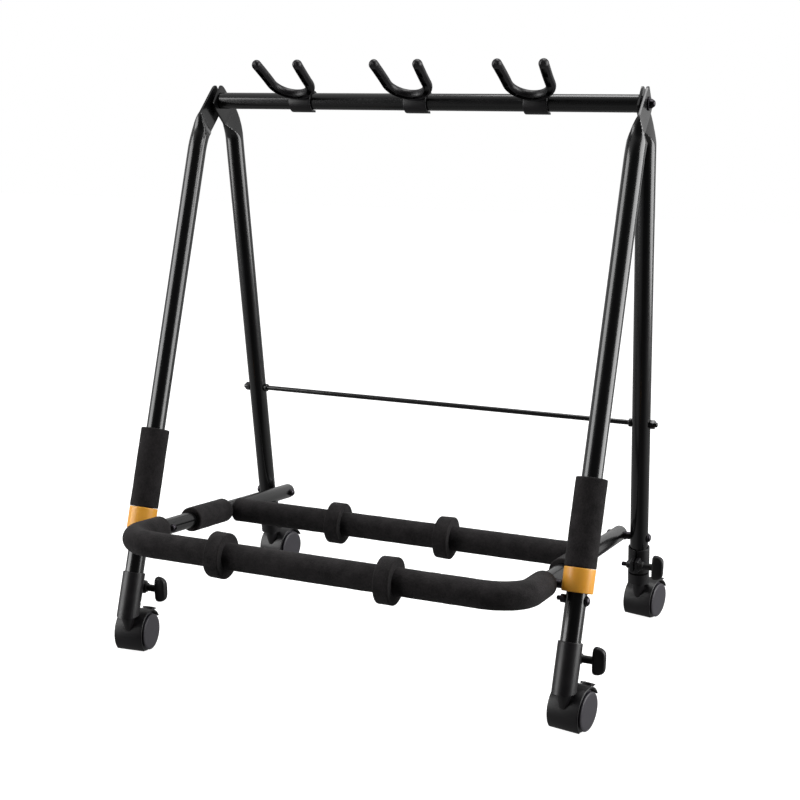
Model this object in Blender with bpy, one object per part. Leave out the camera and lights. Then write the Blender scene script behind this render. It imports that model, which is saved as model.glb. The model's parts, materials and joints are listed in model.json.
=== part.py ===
"""Folding guitar rack: two hinged tube frames, a padded lower rest, three neck yokes, four casters.

Metres, +Z up, +Y towards the back. The design frame has its origin on the floor under the top
bar; at the end the whole rack is moved so that the middle of its footprint is at the origin.
"""

import math

import bmesh
import bpy
from mathutils import Euler, Matrix, Vector

# Frame: the two leg pairs lean apart and are bent together again just below the top bar.
BAR_HEIGHT = 0.7331
BAR_DIAMETER = 0.0222
LEG_DIAMETER = 0.0254
REST_TUBE_DIAMETER = 0.0222
TUBE_WALL = 0.0015
FRONT_LEG_SPACING = 0.6122
FRONT_LEAN = math.radians(20.2)
REAR_LEAN = math.radians(8.4)
FRONT_SETBACK = 0.0334
REAR_SETBACK = 0.0299

# Flattened leg tops and the bolts through them.
BLADE_LEAN = math.radians(49.0)
BLADE_THICKNESS = 0.0032
BLADE_WIDTH = 0.0385
BLADE_BEYOND_PIVOT = 0.014
FRONT_BEND_RADIUS = 0.100
REAR_BEND_RADIUS = 0.060
FLATTEN_LENGTH = 0.045
WASHER_THICKNESS = 0.0043
BOLT_DIAMETER = 0.006
BOLT_CLEARANCE = 0.0004

# Caster sockets, clamped on the legs by a wing screw. They stand just above the wheels.
WHEEL_DIAMETER = 0.055
SOCKET_ABOVE_WHEEL = 0.0045
SOCKET_HEIGHT = 0.0565
LEG_IN_SOCKET = 0.0380
SCREW_BELOW_SOCKET_TOP = 0.0190
SOCKET_BOTTOM = WHEEL_DIAMETER + SOCKET_ABOVE_WHEEL
SOCKET_TOP = SOCKET_BOTTOM + SOCKET_HEIGHT
LEG_BOTTOM = SOCKET_TOP - LEG_IN_SOCKET
SOCKET_WALL = 0.0021
SOCKET_SLIT = 0.0026
LUG_REACH = 0.0150
LUG_THICKNESS = 0.0052
LUG_HEIGHT = 0.0180
SCREW_HEIGHT = SOCKET_TOP - SCREW_BELOW_SOCKET_TOP
SCREW_FROM_LEG = 0.0098
SCREW_OFFSET = LEG_DIAMETER / 2.0 + SCREW_FROM_LEG
SCREW_DIAMETER = 0.006
WING_HEIGHT = 0.036
WING_THICKNESS = 0.012
KNOB_START = 0.0245
KNOB_DEPTH = 0.0155
SCREW_TIP = 0.0190

# Lower rest: a U-shaped tube with a cross tube, hinged to the rear legs.
FRONT_PIVOT_HEIGHT = 0.1775
REAR_PIVOT_ABOVE_SOCKET = 0.0148
REAR_PIVOT_HEIGHT = SOCKET_TOP + REAR_PIVOT_ABOVE_SOCKET
REST_ARM_OFFSET = 0.0385
REST_REACH = 0.109
REST_CORNER_RADIUS = 0.048
REST_TAIL = 0.010
CROSS_TUBE_FROM_REAR_PIVOT = 0.182

# Foam.
FOAM_DIAMETER = 0.0342
GRIP_DIAMETER = 0.0388
GRIP_BOTTOM = 0.1985
GRIP_TOP = 0.3005
COLLAR_BOTTOM = 0.1705
FOAM_PIVOT_GAP = 0.0135
RING_DIAMETER = 0.0590
RING_WIDTH = 0.0200
FRONT_RING_PLACES = (-0.121, 0.106)
REAR_RING_PLACES = (-0.091, 0.072)

# Stiffening rod and stop bolts.
ROD_HEIGHT = 0.3031
ROD_DIAMETER = 0.007
STOP_BOLT_HEIGHT = 0.1620

# Casters.
CASTER_WIDTH = 0.045
CASTER_TRAIL = 0.0265
CASTER_TURNS = {"front_left": -6.0, "front_right": 10.0, "rear_left": 9.0, "rear_right": 12.0}
HOOD_WALL = 0.0022
HOOD_GAP = 0.0010
WEB_THICKNESS = 0.0070
STEM_DIAMETER = 0.011
STEM_LENGTH = 0.0110
BOSS_DIAMETER = 0.019
BOSS_TIP_DIAMETER = 0.009
BOSS_LENGTH = 0.023
AXLE_DIAMETER = 0.006
HOOD_FRONT_ANGLE = math.radians(-42.0)
HOOD_REAR_ANGLE = math.radians(150.0)
TAB_ANGLE = math.radians(116.0)
TAB_LENGTH = 0.015
TAB_WIDTH = 0.014
TAB_OFFSET = 0.0095
TAB_THICKNESS = 0.003

# Yokes.
YOKE_PLACES = (-0.1687, 0.0, 0.1650)
YOKE_SPREAD = 0.0560
YOKE_FLARE = 0.0020
YOKE_DEPTH = 0.0720
YOKE_RISE = math.radians(32.3)
YOKE_ARM_DIAMETER = 0.0130
YOKE_CLIP_WIDTH = 0.032
YOKE_CLIP_WALL = 0.0030
YOKE_CLIP_MOUTH = math.radians(110.0)
YOKE_CLIP_TURN = math.radians(15.0)
YOKE_SETBACK = 0.0180
YOKE_LIFT = 0.0095

# Clearances between pieces.
GAP = 0.0003
RUNNING_GAP = 0.0005

COARSE = 8
ROUND = 12
FINE = 16
CORNER_STEPS = 5
YOKE_STEPS = 6
CLIP_STEPS = 9
HOOD_STEPS = 9

UP = Vector((0.0, 0.0, 1.0))
ACROSS = Vector((1.0, 0.0, 0.0))
BACK = Vector((0.0, 1.0, 0.0))

for old in list(bpy.data.objects):
    bpy.data.objects.remove(old, do_unlink=True)


# ---------------------------------------------------------------- materials

def make_material(name, colour, roughness, metallic):
    material = bpy.data.materials.new(name)
    material.use_nodes = True
    shader = material.node_tree.nodes["Principled BSDF"]
    shader.inputs["Base Color"].default_value = (*colour, 1.0)
    shader.inputs["Roughness"].default_value = roughness
    shader.inputs["Metallic"].default_value = metallic
    material.diffuse_color = (*colour, 1.0)
    return material


ENAMEL = make_material("black_enamel", (0.012, 0.012, 0.014), 0.18, 0.0)
FOAM = make_material("black_foam", (0.020, 0.019, 0.019), 0.95, 0.0)
PLASTIC = make_material("black_plastic", (0.028, 0.026, 0.029), 0.45, 0.0)
YELLOW = make_material("yellow_plastic", (0.80, 0.46, 0.07), 0.45, 0.0)
STEEL = make_material("black_steel", (0.030, 0.028, 0.030), 0.35, 0.8)
TYRE = make_material("wheel_plastic", (0.055, 0.050, 0.056), 0.50, 0.0)


# ---------------------------------------------------------------- shape helpers

def frame_about(axis):
    """Two unit vectors that complete a right-handed frame with the axis."""
    start = BACK if abs(axis.x) > 0.9 else ACROSS
    side = (start - axis * start.dot(axis)).normalized()
    return side, axis.cross(side)


def skin(rows, closed=False):
    """Join rows of points with faces; a row of one point is a pole."""
    mesh = bmesh.new()
    loops = [[mesh.verts.new(point) for point in row] for row in rows]
    pairs = list(zip(loops, loops[1:]))
    if closed:
        pairs.append((loops[-1], loops[0]))
    for first, second in pairs:
        count = max(len(first), len(second))
        for i in range(count):
            j = (i + 1) % count
            if len(first) == 1:
                mesh.faces.new((first[0], second[j], second[i]))
            elif len(second) == 1:
                mesh.faces.new((first[i], first[j], second[0]))
            else:
                mesh.faces.new((first[i], first[j], second[j], second[i]))
    if not closed:
        for loop in (loops[0], loops[-1]):
            if len(loop) > 2:
                mesh.faces.new(loop)
    bmesh.ops.recalc_face_normals(mesh, faces=mesh.faces)
    return mesh


def oval(centre, side, up, half_side, half_up, count, power=2.0):
    """Points round a superellipse; power 2 is an ellipse, more is squarer."""
    points = []
    for i in range(count):
        turn = 2.0 * math.pi * (i + 0.5) / count
        c = math.cos(turn)
        s = math.sin(turn)
        u = math.copysign(abs(c) ** (2.0 / power), c) * half_side
        v = math.copysign(abs(s) ** (2.0 / power), s) * half_up
        points.append(centre + side * u + up * v)
    return points


def turned(profile, base, axis, count, closed=False):
    """Turn a profile of (radius, distance along the axis) about an axis."""
    side, up = frame_about(axis)
    rows = []
    for radius, along in profile:
        centre = base + axis * along
        if radius < 1e-6:
            rows.append([centre])
        else:
            rows.append(oval(centre, side, up, radius, radius, count))
    return skin(rows, closed)


def rod_between(start, end, radius, count):
    axis = (end - start).normalized()
    length = (end - start).length
    return turned([(0, 0), (radius, 0), (radius, length), (0, length)], start, axis, count)


def tube_along(path, outer, inner, count):
    """A tube open at both ends along a path of (point, direction, side) stations."""
    rows = []
    for radius, stations in ((outer, path), (inner, list(reversed(path)))):
        for point, direction, side in stations:
            up = direction.cross(side)
            rows.append(oval(point, side, up, radius, radius, count))
    return skin(rows, closed=True)


def block(centre, size, rotation=0.0, bevel=0.0):
    """A box turned about X, with its edges bevelled."""
    mesh = bmesh.new()
    bmesh.ops.create_cube(mesh, size=1.0)
    bmesh.ops.scale(mesh, vec=size, verts=mesh.verts)
    if bevel:
        bmesh.ops.bevel(mesh, geom=mesh.edges, offset=bevel, segments=1, affect="EDGES")
    place = Matrix.Translation(centre) @ Matrix.Rotation(rotation, 4, "X")
    bmesh.ops.transform(mesh, matrix=place, verts=mesh.verts)
    return mesh


def combine(base, tool, operation):
    """Boolean of two closed meshes, as a new mesh."""
    work = []
    for mesh in (base, tool):
        data = bpy.data.meshes.new("work")
        mesh.to_mesh(data)
        mesh.free()
        piece = bpy.data.objects.new("work", data)
        bpy.context.scene.collection.objects.link(piece)
        work.append(piece)
    modifier = work[0].modifiers.new("combine", "BOOLEAN")
    modifier.operation = operation
    modifier.solver = "EXACT"
    modifier.object = work[1]
    result = bmesh.new()
    result.from_object(work[0], bpy.context.evaluated_depsgraph_get())
    for piece in work:
        data = piece.data
        bpy.data.objects.remove(piece, do_unlink=True)
        bpy.data.meshes.remove(data)
    return result


def join(base, tool):
    return combine(base, tool, "UNION")


def cut(base, tool):
    return combine(base, tool, "DIFFERENCE")


def cross_hole(base, point, radius, half_length):
    """Drill a hole along X."""
    reach = ACROSS * half_length
    return cut(base, rod_between(point - reach, point + reach, radius, COARSE))


# ---------------------------------------------------------------- assembly helpers

def make_empty(name, parent, place):
    empty = bpy.data.objects.new(name, None)
    empty.empty_display_size = 0.02
    bpy.context.scene.collection.objects.link(empty)
    attach(empty, parent, place)
    return empty


def attach(piece, parent, place):
    """Put a piece at a place in the design frame, under a parent that is not turned."""
    origin = Vector((0.0, 0.0, 0.0))
    holder = parent
    while holder is not None:
        origin += holder.location
        holder = holder.parent
    piece.parent = parent
    piece.location = place - origin


def make_piece(name, mesh, material, parent, place):
    """Turn a mesh drawn in the design frame into a named piece with its origin at a place."""
    bmesh.ops.translate(mesh, vec=-place, verts=mesh.verts)
    data = bpy.data.meshes.new(name)
    mesh.to_mesh(data)
    mesh.free()
    data.materials.append(material)
    data.shade_smooth()
    data.set_sharp_from_angle(angle=math.radians(38.0))
    piece = bpy.data.objects.new(name, data)
    bpy.context.scene.collection.objects.link(piece)
    attach(piece, parent, place)
    return piece


# ---------------------------------------------------------------- layout

TOP_PIVOT = Vector((0.0, 0.0, BAR_HEIGHT))
REAR_LEG_SPACING = FRONT_LEG_SPACING - 2.0 * (BLADE_THICKNESS + WASHER_THICKNESS)
LEG_RADIUS = LEG_DIAMETER / 2.0
REST_RADIUS = REST_TUBE_DIAMETER / 2.0
REST_ARM_X = FRONT_LEG_SPACING / 2.0 - REST_ARM_OFFSET


def leg_up(front):
    """Unit vector up along the straight part of a leg."""
    lean = FRONT_LEAN if front else -REAR_LEAN
    return Vector((0.0, math.sin(lean), math.cos(lean)))


def leg_point(front, height, x=0.0):
    """Point on the axis of a leg's straight part at a height."""
    setback = -FRONT_SETBACK if front else REAR_SETBACK
    lean = FRONT_LEAN if front else -REAR_LEAN
    return Vector((x, setback - (BAR_HEIGHT - height) * math.tan(lean), height))


def leg_x(front, side):
    return side * (FRONT_LEG_SPACING if front else REAR_LEG_SPACING) / 2.0


FRONT_PIVOT = leg_point(True, FRONT_PIVOT_HEIGHT)
REAR_PIVOT = leg_point(False, REAR_PIVOT_HEIGHT)
REST_FORWARD = (FRONT_PIVOT - REAR_PIVOT).normalized()
REST_UP = ACROSS.cross(REST_FORWARD) * -1.0
REST_SPAN = (FRONT_PIVOT - REAR_PIVOT).length
FRONT_BAR = FRONT_PIVOT + REST_FORWARD * REST_REACH
CROSS_BAR = REAR_PIVOT + REST_FORWARD * CROSS_TUBE_FROM_REAR_PIVOT


# ---------------------------------------------------------------- top bar and legs

def top_bar():
    half = REAR_LEG_SPACING / 2.0 - BLADE_THICKNESS / 2.0 - GAP
    outer = BAR_DIAMETER / 2.0
    inner = outer - TUBE_WALL
    bore = BOLT_DIAMETER / 2.0 + GAP
    plug = 0.008
    profile = [
        (bore, -half), (outer, -half), (outer, half), (bore, half),
        (bore, half - plug), (inner, half - plug), (inner, plug - half), (bore, plug - half),
    ]
    return turned(profile, TOP_PIVOT, ACROSS, FINE, closed=True)


def leg_stations(front):
    """Stations (point, up direction) from the foot over the bend to the blade's end."""
    up = leg_up(front)
    sign = 1.0 if front else -1.0
    blade_up = Vector((0.0, sign * math.sin(BLADE_LEAN), math.cos(BLADE_LEAN)))
    bend = BLADE_LEAN - (FRONT_LEAN if front else REAR_LEAN)
    radius = FRONT_BEND_RADIUS if front else REAR_BEND_RADIUS
    setback = FRONT_SETBACK if front else REAR_SETBACK
    lean = FRONT_LEAN if front else REAR_LEAN
    to_corner = setback * math.cos(lean) / math.sin(bend)
    corner = TOP_PIVOT - blade_up * to_corner
    tangent = radius * math.tan(bend / 2.0)
    start = corner - up * tangent
    inward = Vector((0.0, sign * math.cos(lean), -math.sin(lean)))
    stations = [(leg_point(front, LEG_BOTTOM), up)]
    stations.append((start - up * (FLATTEN_LENGTH * 0.35), up))
    steps = 5
    for i in range(steps + 1):
        angle = bend * i / steps
        point = start + up * (radius * math.sin(angle)) + inward * (radius * (1.0 - math.cos(angle)))
        direction = up * math.cos(angle) + inward * math.sin(angle)
        stations.append((point, direction))
    shoulder = BLADE_BEYOND_PIVOT * 0.15
    stations.append((TOP_PIVOT + blade_up * shoulder, blade_up))
    stations.append((TOP_PIVOT + blade_up * BLADE_BEYOND_PIVOT * 0.8, blade_up))
    stations.append((TOP_PIVOT + blade_up * BLADE_BEYOND_PIVOT, blade_up))
    return stations


def leg(front, side):
    """A tube with a blind bore, round below and pressed flat at the top."""
    x = leg_x(front, side)
    stations = leg_stations(front)
    flat_end = len(stations) - 3
    begin = stations[1][0]
    full = (stations[flat_end - 1][0] - begin).length
    rows = []
    bore = LEG_RADIUS - TUBE_WALL
    shift = ACROSS * x
    for point, direction in (stations[1], stations[0]):
        rows.append(oval(point + shift, ACROSS, direction.cross(ACROSS), bore, bore, ROUND))
    for index, (point, direction) in enumerate(stations):
        share = min(1.0, (point - begin).length / full) if index > 1 else 0.0
        share = share * share * (3.0 - 2.0 * share)
        half_x = LEG_RADIUS + (BLADE_THICKNESS / 2.0 - LEG_RADIUS) * share
        half_w = LEG_RADIUS + (BLADE_WIDTH / 2.0 - LEG_RADIUS) * share
        if index == flat_end + 1:
            half_w *= 0.86
        if index == flat_end + 2:
            half_w *= 0.72
        power = 2.0 + 5.0 * share
        rows.append(oval(point + shift, ACROSS, direction.cross(ACROSS), half_x, half_w, ROUND, power))
    mesh = skin(rows)
    hole = BOLT_DIAMETER / 2.0 + BOLT_CLEARANCE
    pivot = TOP_PIVOT + shift
    mesh = cross_hole(mesh, pivot, hole, BLADE_THICKNESS * 2.0)
    if front:
        mesh = cross_hole(mesh, leg_point(True, STOP_BOLT_HEIGHT, x), hole, LEG_DIAMETER)
    else:
        mesh = cross_hole(mesh, REAR_PIVOT + shift, hole, LEG_DIAMETER)
        mesh = cross_hole(mesh, leg_point(False, ROD_HEIGHT, x), ROD_DIAMETER / 2.0 + GAP, LEG_DIAMETER)
    return mesh


def top_bolt(side):
    """Bolt into the bar's end, with the washer between the blades and a domed head outside."""
    shank = BOLT_DIAMETER / 2.0
    half = BLADE_THICKNESS / 2.0
    inner_face = REAR_LEG_SPACING / 2.0 + half
    outer_face = FRONT_LEG_SPACING / 2.0 - half
    head = FRONT_LEG_SPACING / 2.0 + half + GAP
    profile = [
        (0, inner_face - 0.028), (shank, inner_face - 0.028),
        (shank, inner_face + GAP), (0.0095, inner_face + GAP),
        (0.0095, outer_face - GAP), (shank, outer_face - GAP),
        (shank, head), (0.0085, head), (0.0085, head + 0.0016), (0.0055, head + 0.0018),
        (0.0055, head + 0.0045), (0.0042, head + 0.0066), (0.0022, head + 0.0078), (0, head + 0.0082),
    ]
    return turned(profile, TOP_PIVOT, ACROSS * side, COARSE)


def stabilizer_rod():
    """Rod through both rear legs with a nut on each end."""
    centre = leg_point(False, ROD_HEIGHT)
    radius = ROD_DIAMETER / 2.0
    nut = REAR_LEG_SPACING / 2.0 + LEG_RADIUS + GAP
    stop = REAR_LEG_SPACING / 2.0 - LEG_RADIUS - GAP
    half = [
        (radius, 0.0), (radius, stop - 0.004), (0.0058, stop - 0.004), (0.0058, stop), (radius, stop),
        (radius, nut), (0.0064, nut), (0.0064, nut + 0.0062), (0.0034, nut + 0.0076),
        (0.0030, nut + 0.0100), (0, nut + 0.0104),
    ]
    profile = [(r, -h) for r, h in reversed(half[1:])] + half
    return turned(profile, centre, ACROSS, COARSE)


def stop_bolt(side):
    """Through bolt that the yellow collar rests on."""
    centre = leg_point(True, STOP_BOLT_HEIGHT, leg_x(True, side))
    shank = BOLT_DIAMETER / 2.0
    face = LEG_RADIUS + GAP
    profile = [
        (0, -face - 0.0110), (shank * 0.9, -face - 0.0105), (shank, -face - 0.0062),
        (0.0052, -face - 0.0060), (0.0055, -face - 0.0010), (0.0055, -face), (shank, -face),
        (shank, face), (0.0055, face), (0.0052, face + 0.0030), (0.0030, face + 0.0042), (0, face + 0.0044),
    ]
    return turned(profile, centre, ACROSS * side, COARSE)


# ---------------------------------------------------------------- lower rest

def rest_path(radius_steps, start_left, start_right):
    """Stations round the U, from the left arm's start to the right arm's start.

    The starts are distances ahead of the rear pivot.
    """
    corner = REST_CORNER_RADIUS
    front = REST_SPAN + REST_REACH
    inner_x = REST_ARM_X - corner
    turn_start = front - corner

    def spot(x, ahead):
        return REAR_PIVOT + REST_FORWARD * ahead + ACROSS * x

    stations = [(spot(-REST_ARM_X, start_left), REST_FORWARD, REST_UP)]
    for side in (-1.0, 1.0):
        for i in range(radius_steps + 1):
            share = i / radius_steps
            angle = math.pi / 2.0 * (share if side < 0 else 1.0 - share)
            x = side * (inner_x + corner * math.cos(angle))
            ahead = turn_start + corner * math.sin(angle)
            direction = REST_FORWARD * (-side * math.cos(angle)) + ACROSS * math.sin(angle)
            stations.append((spot(x, ahead), direction, REST_UP))
    stations.append((spot(REST_ARM_X, start_right), -REST_FORWARD, REST_UP))
    return stations


def rest_tube():
    """Hollow U with rounded, closed back ends, drilled for its four pivot bolts."""
    shells = []
    for radius, wall in ((REST_RADIUS, 0.0), (REST_RADIUS - TUBE_WALL, TUBE_WALL)):
        path = rest_path(CORNER_STEPS, -REST_TAIL, -REST_TAIL)
        rows = []
        for point, direction, side in path:
            rows.append(oval(point, side, direction.cross(side), radius, radius, ROUND))
        for end in (0, -1):
            point, direction, side = path[end]
            outward = direction * (-1.0 if end == 0 else 1.0)
            cap = []
            for along, share in ((0.0045, 0.80), (0.0068, 0.42)):
                spot = point + outward * (along - wall)
                cap.append(oval(spot, side, direction.cross(side), radius * share, radius * share, ROUND))
            rows = cap[::-1] + rows if end == 0 else rows + cap
        shells.append(skin(rows))
    mesh = cut(shells[0], shells[1])
    hole = BOLT_DIAMETER / 2.0 + BOLT_CLEARANCE
    for side in (-1.0, 1.0):
        shift = ACROSS * (side * REST_ARM_X)
        mesh = cross_hole(mesh, REAR_PIVOT + shift, hole, REST_TUBE_DIAMETER)
        mesh = cross_hole(mesh, FRONT_PIVOT + shift, hole, REST_TUBE_DIAMETER)
    return mesh


def cross_tube():
    """Straight tube whose ends are shaped to the side tubes it is welded to."""
    half = REST_ARM_X - REST_RADIUS * 0.4
    profile_outer = REST_RADIUS
    profile_inner = REST_RADIUS - TUBE_WALL
    profile = [
        (profile_inner, -half), (profile_outer, -half), (profile_outer, half), (profile_inner, half),
    ]
    mesh = turned(profile, CROSS_BAR, ACROSS, ROUND, closed=True)
    for side in (-1.0, 1.0):
        centre = CROSS_BAR + ACROSS * (side * REST_ARM_X)
        reach = REST_FORWARD * 0.05
        saddle = rod_between(centre - reach, centre + reach, REST_RADIUS + GAP, ROUND)
        mesh = cut(mesh, saddle)
    return mesh


def front_foam():
    start = REST_SPAN + FOAM_PIVOT_GAP
    return tube_along(rest_path(CORNER_STEPS, start, start), FOAM_DIAMETER / 2.0, REST_RADIUS + GAP, ROUND)


def cross_foam():
    half = REST_ARM_X - REST_RADIUS - 0.002
    profile = [
        (REST_RADIUS + GAP, -half), (FOAM_DIAMETER / 2.0, -half),
        (FOAM_DIAMETER / 2.0, half), (REST_RADIUS + GAP, half),
    ]
    return turned(profile, CROSS_BAR, ACROSS, ROUND, closed=True)


def side_foam(side):
    """Short sleeve on a side tube, from behind the front pivot to the cross bar."""
    base = REAR_PIVOT + ACROSS * (side * REST_ARM_X)
    start = CROSS_TUBE_FROM_REAR_PIVOT + FOAM_DIAMETER / 2.0 + 0.001
    end = REST_SPAN - FOAM_PIVOT_GAP - 0.052
    profile = [
        (REST_RADIUS + GAP, start), (FOAM_DIAMETER / 2.0, start),
        (FOAM_DIAMETER / 2.0, end), (REST_RADIUS + GAP, end),
    ]
    return turned(profile, base, REST_FORWARD, ROUND, closed=True)


def foam_ring(bar, x):
    """Thick divider ring that slides on a foam bar."""
    inner = FOAM_DIAMETER / 2.0 + RUNNING_GAP
    outer = RING_DIAMETER / 2.0
    half = RING_WIDTH / 2.0
    chamfer = 0.0015
    profile = [
        (inner, -half), (outer - chamfer, -half), (outer, chamfer - half),
        (outer, half - chamfer), (outer - chamfer, half), (inner, half),
    ]
    return turned(profile, bar + ACROSS * x, ACROSS, ROUND, closed=True)


def pivot_bolt(side, front):
    """Bolt through a side tube: domed head inside, spacer towards the leg.

    The front one stops short of the sliding collar; the rear one runs on through the leg.
    """
    pivot = (FRONT_PIVOT if front else REAR_PIVOT) + ACROSS * (side * REST_ARM_X)
    shank = BOLT_DIAMETER / 2.0
    inside = -REST_RADIUS - GAP
    outside = REST_RADIUS + GAP
    head = [
        (0, inside - 0.0048), (0.0026, inside - 0.0044), (0.0046, inside - 0.0028),
        (0.0055, inside - 0.0008), (0.0055, inside), (shank, inside),
    ]
    if front:
        collar = leg_x(True, side) * side - REST_ARM_X - GRIP_DIAMETER / 2.0
        end = collar - RUNNING_GAP
        tail = [(shank, outside), (0.0056, outside), (0.0056, end), (0, end)]
        return turned(head + tail, pivot, ACROSS * side, COARSE)
    leg_inside = leg_x(False, side) * side - REST_ARM_X - LEG_RADIUS - GAP
    leg_outside = leg_inside + LEG_DIAMETER + 2.0 * GAP
    tail = [
        (shank, outside), (0.0056, outside), (0.0056, leg_inside), (shank, leg_inside),
        (shank, leg_outside), (0.0058, leg_outside), (0.0055, leg_outside + 0.0022),
        (0.0030, leg_outside + 0.0036), (0, leg_outside + 0.0040),
    ]
    return turned(head + tail, pivot, ACROSS * side, COARSE)


# ---------------------------------------------------------------- leg grips

def sleeve_on_leg(side, bottom, top, outer, count):
    """Tube that slides on a front leg between two heights."""
    base = leg_point(True, bottom, leg_x(True, side))
    length = (top - bottom) / math.cos(FRONT_LEAN)
    inner = LEG_RADIUS + RUNNING_GAP
    chamfer = 0.0008
    profile = [
        (inner, 0), (outer - chamfer, 0), (outer, chamfer),
        (outer, length - chamfer), (outer - chamfer, length), (inner, length),
    ]
    return turned(profile, base, leg_up(True), count, closed=True)


def grip_foam(side):
    return sleeve_on_leg(side, GRIP_BOTTOM + GAP, GRIP_TOP, GRIP_DIAMETER / 2.0, ROUND)


def grip_collar(side):
    return sleeve_on_leg(side, COLLAR_BOTTOM, GRIP_BOTTOM, GRIP_DIAMETER / 2.0 - 0.0002, ROUND)


# ---------------------------------------------------------------- caster sockets

SOCKET_RADIUS = LEG_RADIUS + GAP + SOCKET_WALL


def inward(front):
    """Unit vector square to a leg, towards the middle of the footprint."""
    return ACROSS.cross(leg_up(front)) * (-1.0 if front else 1.0)


def lean_angle(front):
    return -FRONT_LEAN if front else REAR_LEAN


def screw_point(front, side):
    return leg_point(front, SCREW_HEIGHT, leg_x(front, side)) + inward(front) * SCREW_OFFSET


def stem_point(front, side):
    return leg_point(front, SOCKET_BOTTOM, leg_x(front, side))


def socket(front, side):
    """Moulded sleeve: bored for the leg above, for the caster's stem below, slit and clamped."""
    up = leg_up(front)
    x = leg_x(front, side)
    below = 0.020
    base = leg_point(front, SOCKET_BOTTOM - below, x)
    scale = 1.0 / math.cos(FRONT_LEAN if front else REAR_LEAN)
    floor = (LEG_BOTTOM - SOCKET_BOTTOM) * scale - GAP + below
    top = (SOCKET_TOP - SOCKET_BOTTOM) * scale + below
    bore = LEG_RADIUS + GAP
    profile = [
        (0, 0), (SOCKET_RADIUS, 0), (SOCKET_RADIUS, top - 0.001), (SOCKET_RADIUS - 0.001, top),
        (bore, top), (bore, floor), (0, floor),
    ]
    mesh = turned(profile, base, up, FINE)
    trim = block(Vector((x, base.y, SOCKET_BOTTOM - 0.05)), (0.1, 0.1, 0.1))
    mesh = cut(mesh, trim)
    screw = screw_point(front, side)
    lug_middle = inward(front) * ((SOCKET_RADIUS + LUG_REACH + bore) / 2.0 + 0.0007)
    lug_size = (SOCKET_SLIT + 2.0 * LUG_THICKNESS, SOCKET_RADIUS + LUG_REACH - bore - 0.0014, LUG_HEIGHT)
    axis_point = leg_point(front, SCREW_HEIGHT, x)
    mesh = join(mesh, block(axis_point + lug_middle, lug_size, lean_angle(front), 0.0015))
    slit_low = 0.014
    slit_length = 0.060
    slit_middle = axis_point + inward(front) * (SOCKET_RADIUS + LUG_REACH / 2.0)
    slit_middle += up * (slit_length / 2.0 - slit_low)
    slit_size = (SOCKET_SLIT, LUG_REACH + 2.0 * SOCKET_WALL + 0.008, slit_length)
    mesh = cut(mesh, block(slit_middle, slit_size, lean_angle(front)))
    mesh = cross_hole(mesh, screw, SCREW_DIAMETER / 2.0 + BOLT_CLEARANCE, 0.02)
    stem = stem_point(front, side)
    hole = rod_between(stem - UP * 0.01, stem + UP * (STEM_LENGTH + GAP), STEM_DIAMETER / 2.0 + GAP, ROUND)
    return cut(mesh, hole)


def wing_screw(front, side):
    """Screw with a wing knob on its right-hand end and its tip past the far lug."""
    centre = screw_point(front, side)
    shank = SCREW_DIAMETER / 2.0
    hub = SOCKET_SLIT / 2.0 + LUG_THICKNESS + RUNNING_GAP
    half = WING_HEIGHT / 2.0
    thick = WING_THICKNESS / 2.0
    start = KNOB_START
    depth = KNOB_DEPTH
    sections = [
        (-SCREW_TIP, shank * 0.7, shank * 0.7), (-SCREW_TIP + 0.001, shank, shank),
        (-hub - 0.0052, shank, shank), (-hub - 0.0050, 0.0055, 0.0055), (-hub, 0.0055, 0.0055),
        (-hub + 0.0001, shank, shank), (hub, shank, shank), (hub + 0.0001, 0.0070, 0.0070),
        (hub + 0.0030, 0.0072, 0.0072), (hub + 0.0045, 0.0048, 0.0048), (start, 0.0048, 0.0048),
        (start + 0.0005, half * 0.88, thick * 0.9), (start + 0.003, half, thick),
        (start + depth * 0.60, half * 0.95, thick), (start + depth * 0.85, half * 0.78, thick * 0.92),
        (start + depth, half * 0.50, thick * 0.6),
    ]
    rows = []
    for along, half_up, half_back in sections:
        rows.append(oval(centre + ACROSS * along, BACK, UP, half_back, half_up, COARSE))
    return skin(rows)


# ---------------------------------------------------------------- casters

WHEEL_RADIUS = WHEEL_DIAMETER / 2.0
HOOD_INNER = WHEEL_RADIUS + HOOD_GAP
HOOD_OUTER = HOOD_INNER + HOOD_WALL


def axle_point(front, side):
    stem = stem_point(front, side)
    return Vector((stem.x, stem.y + CASTER_TRAIL, WHEEL_RADIUS))


def around_axle(axle, angle, radius):
    """Point about the axle; angle 0 is to the front, a quarter turn is up."""
    return axle + Vector((0.0, -radius * math.cos(angle), radius * math.sin(angle)))


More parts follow.
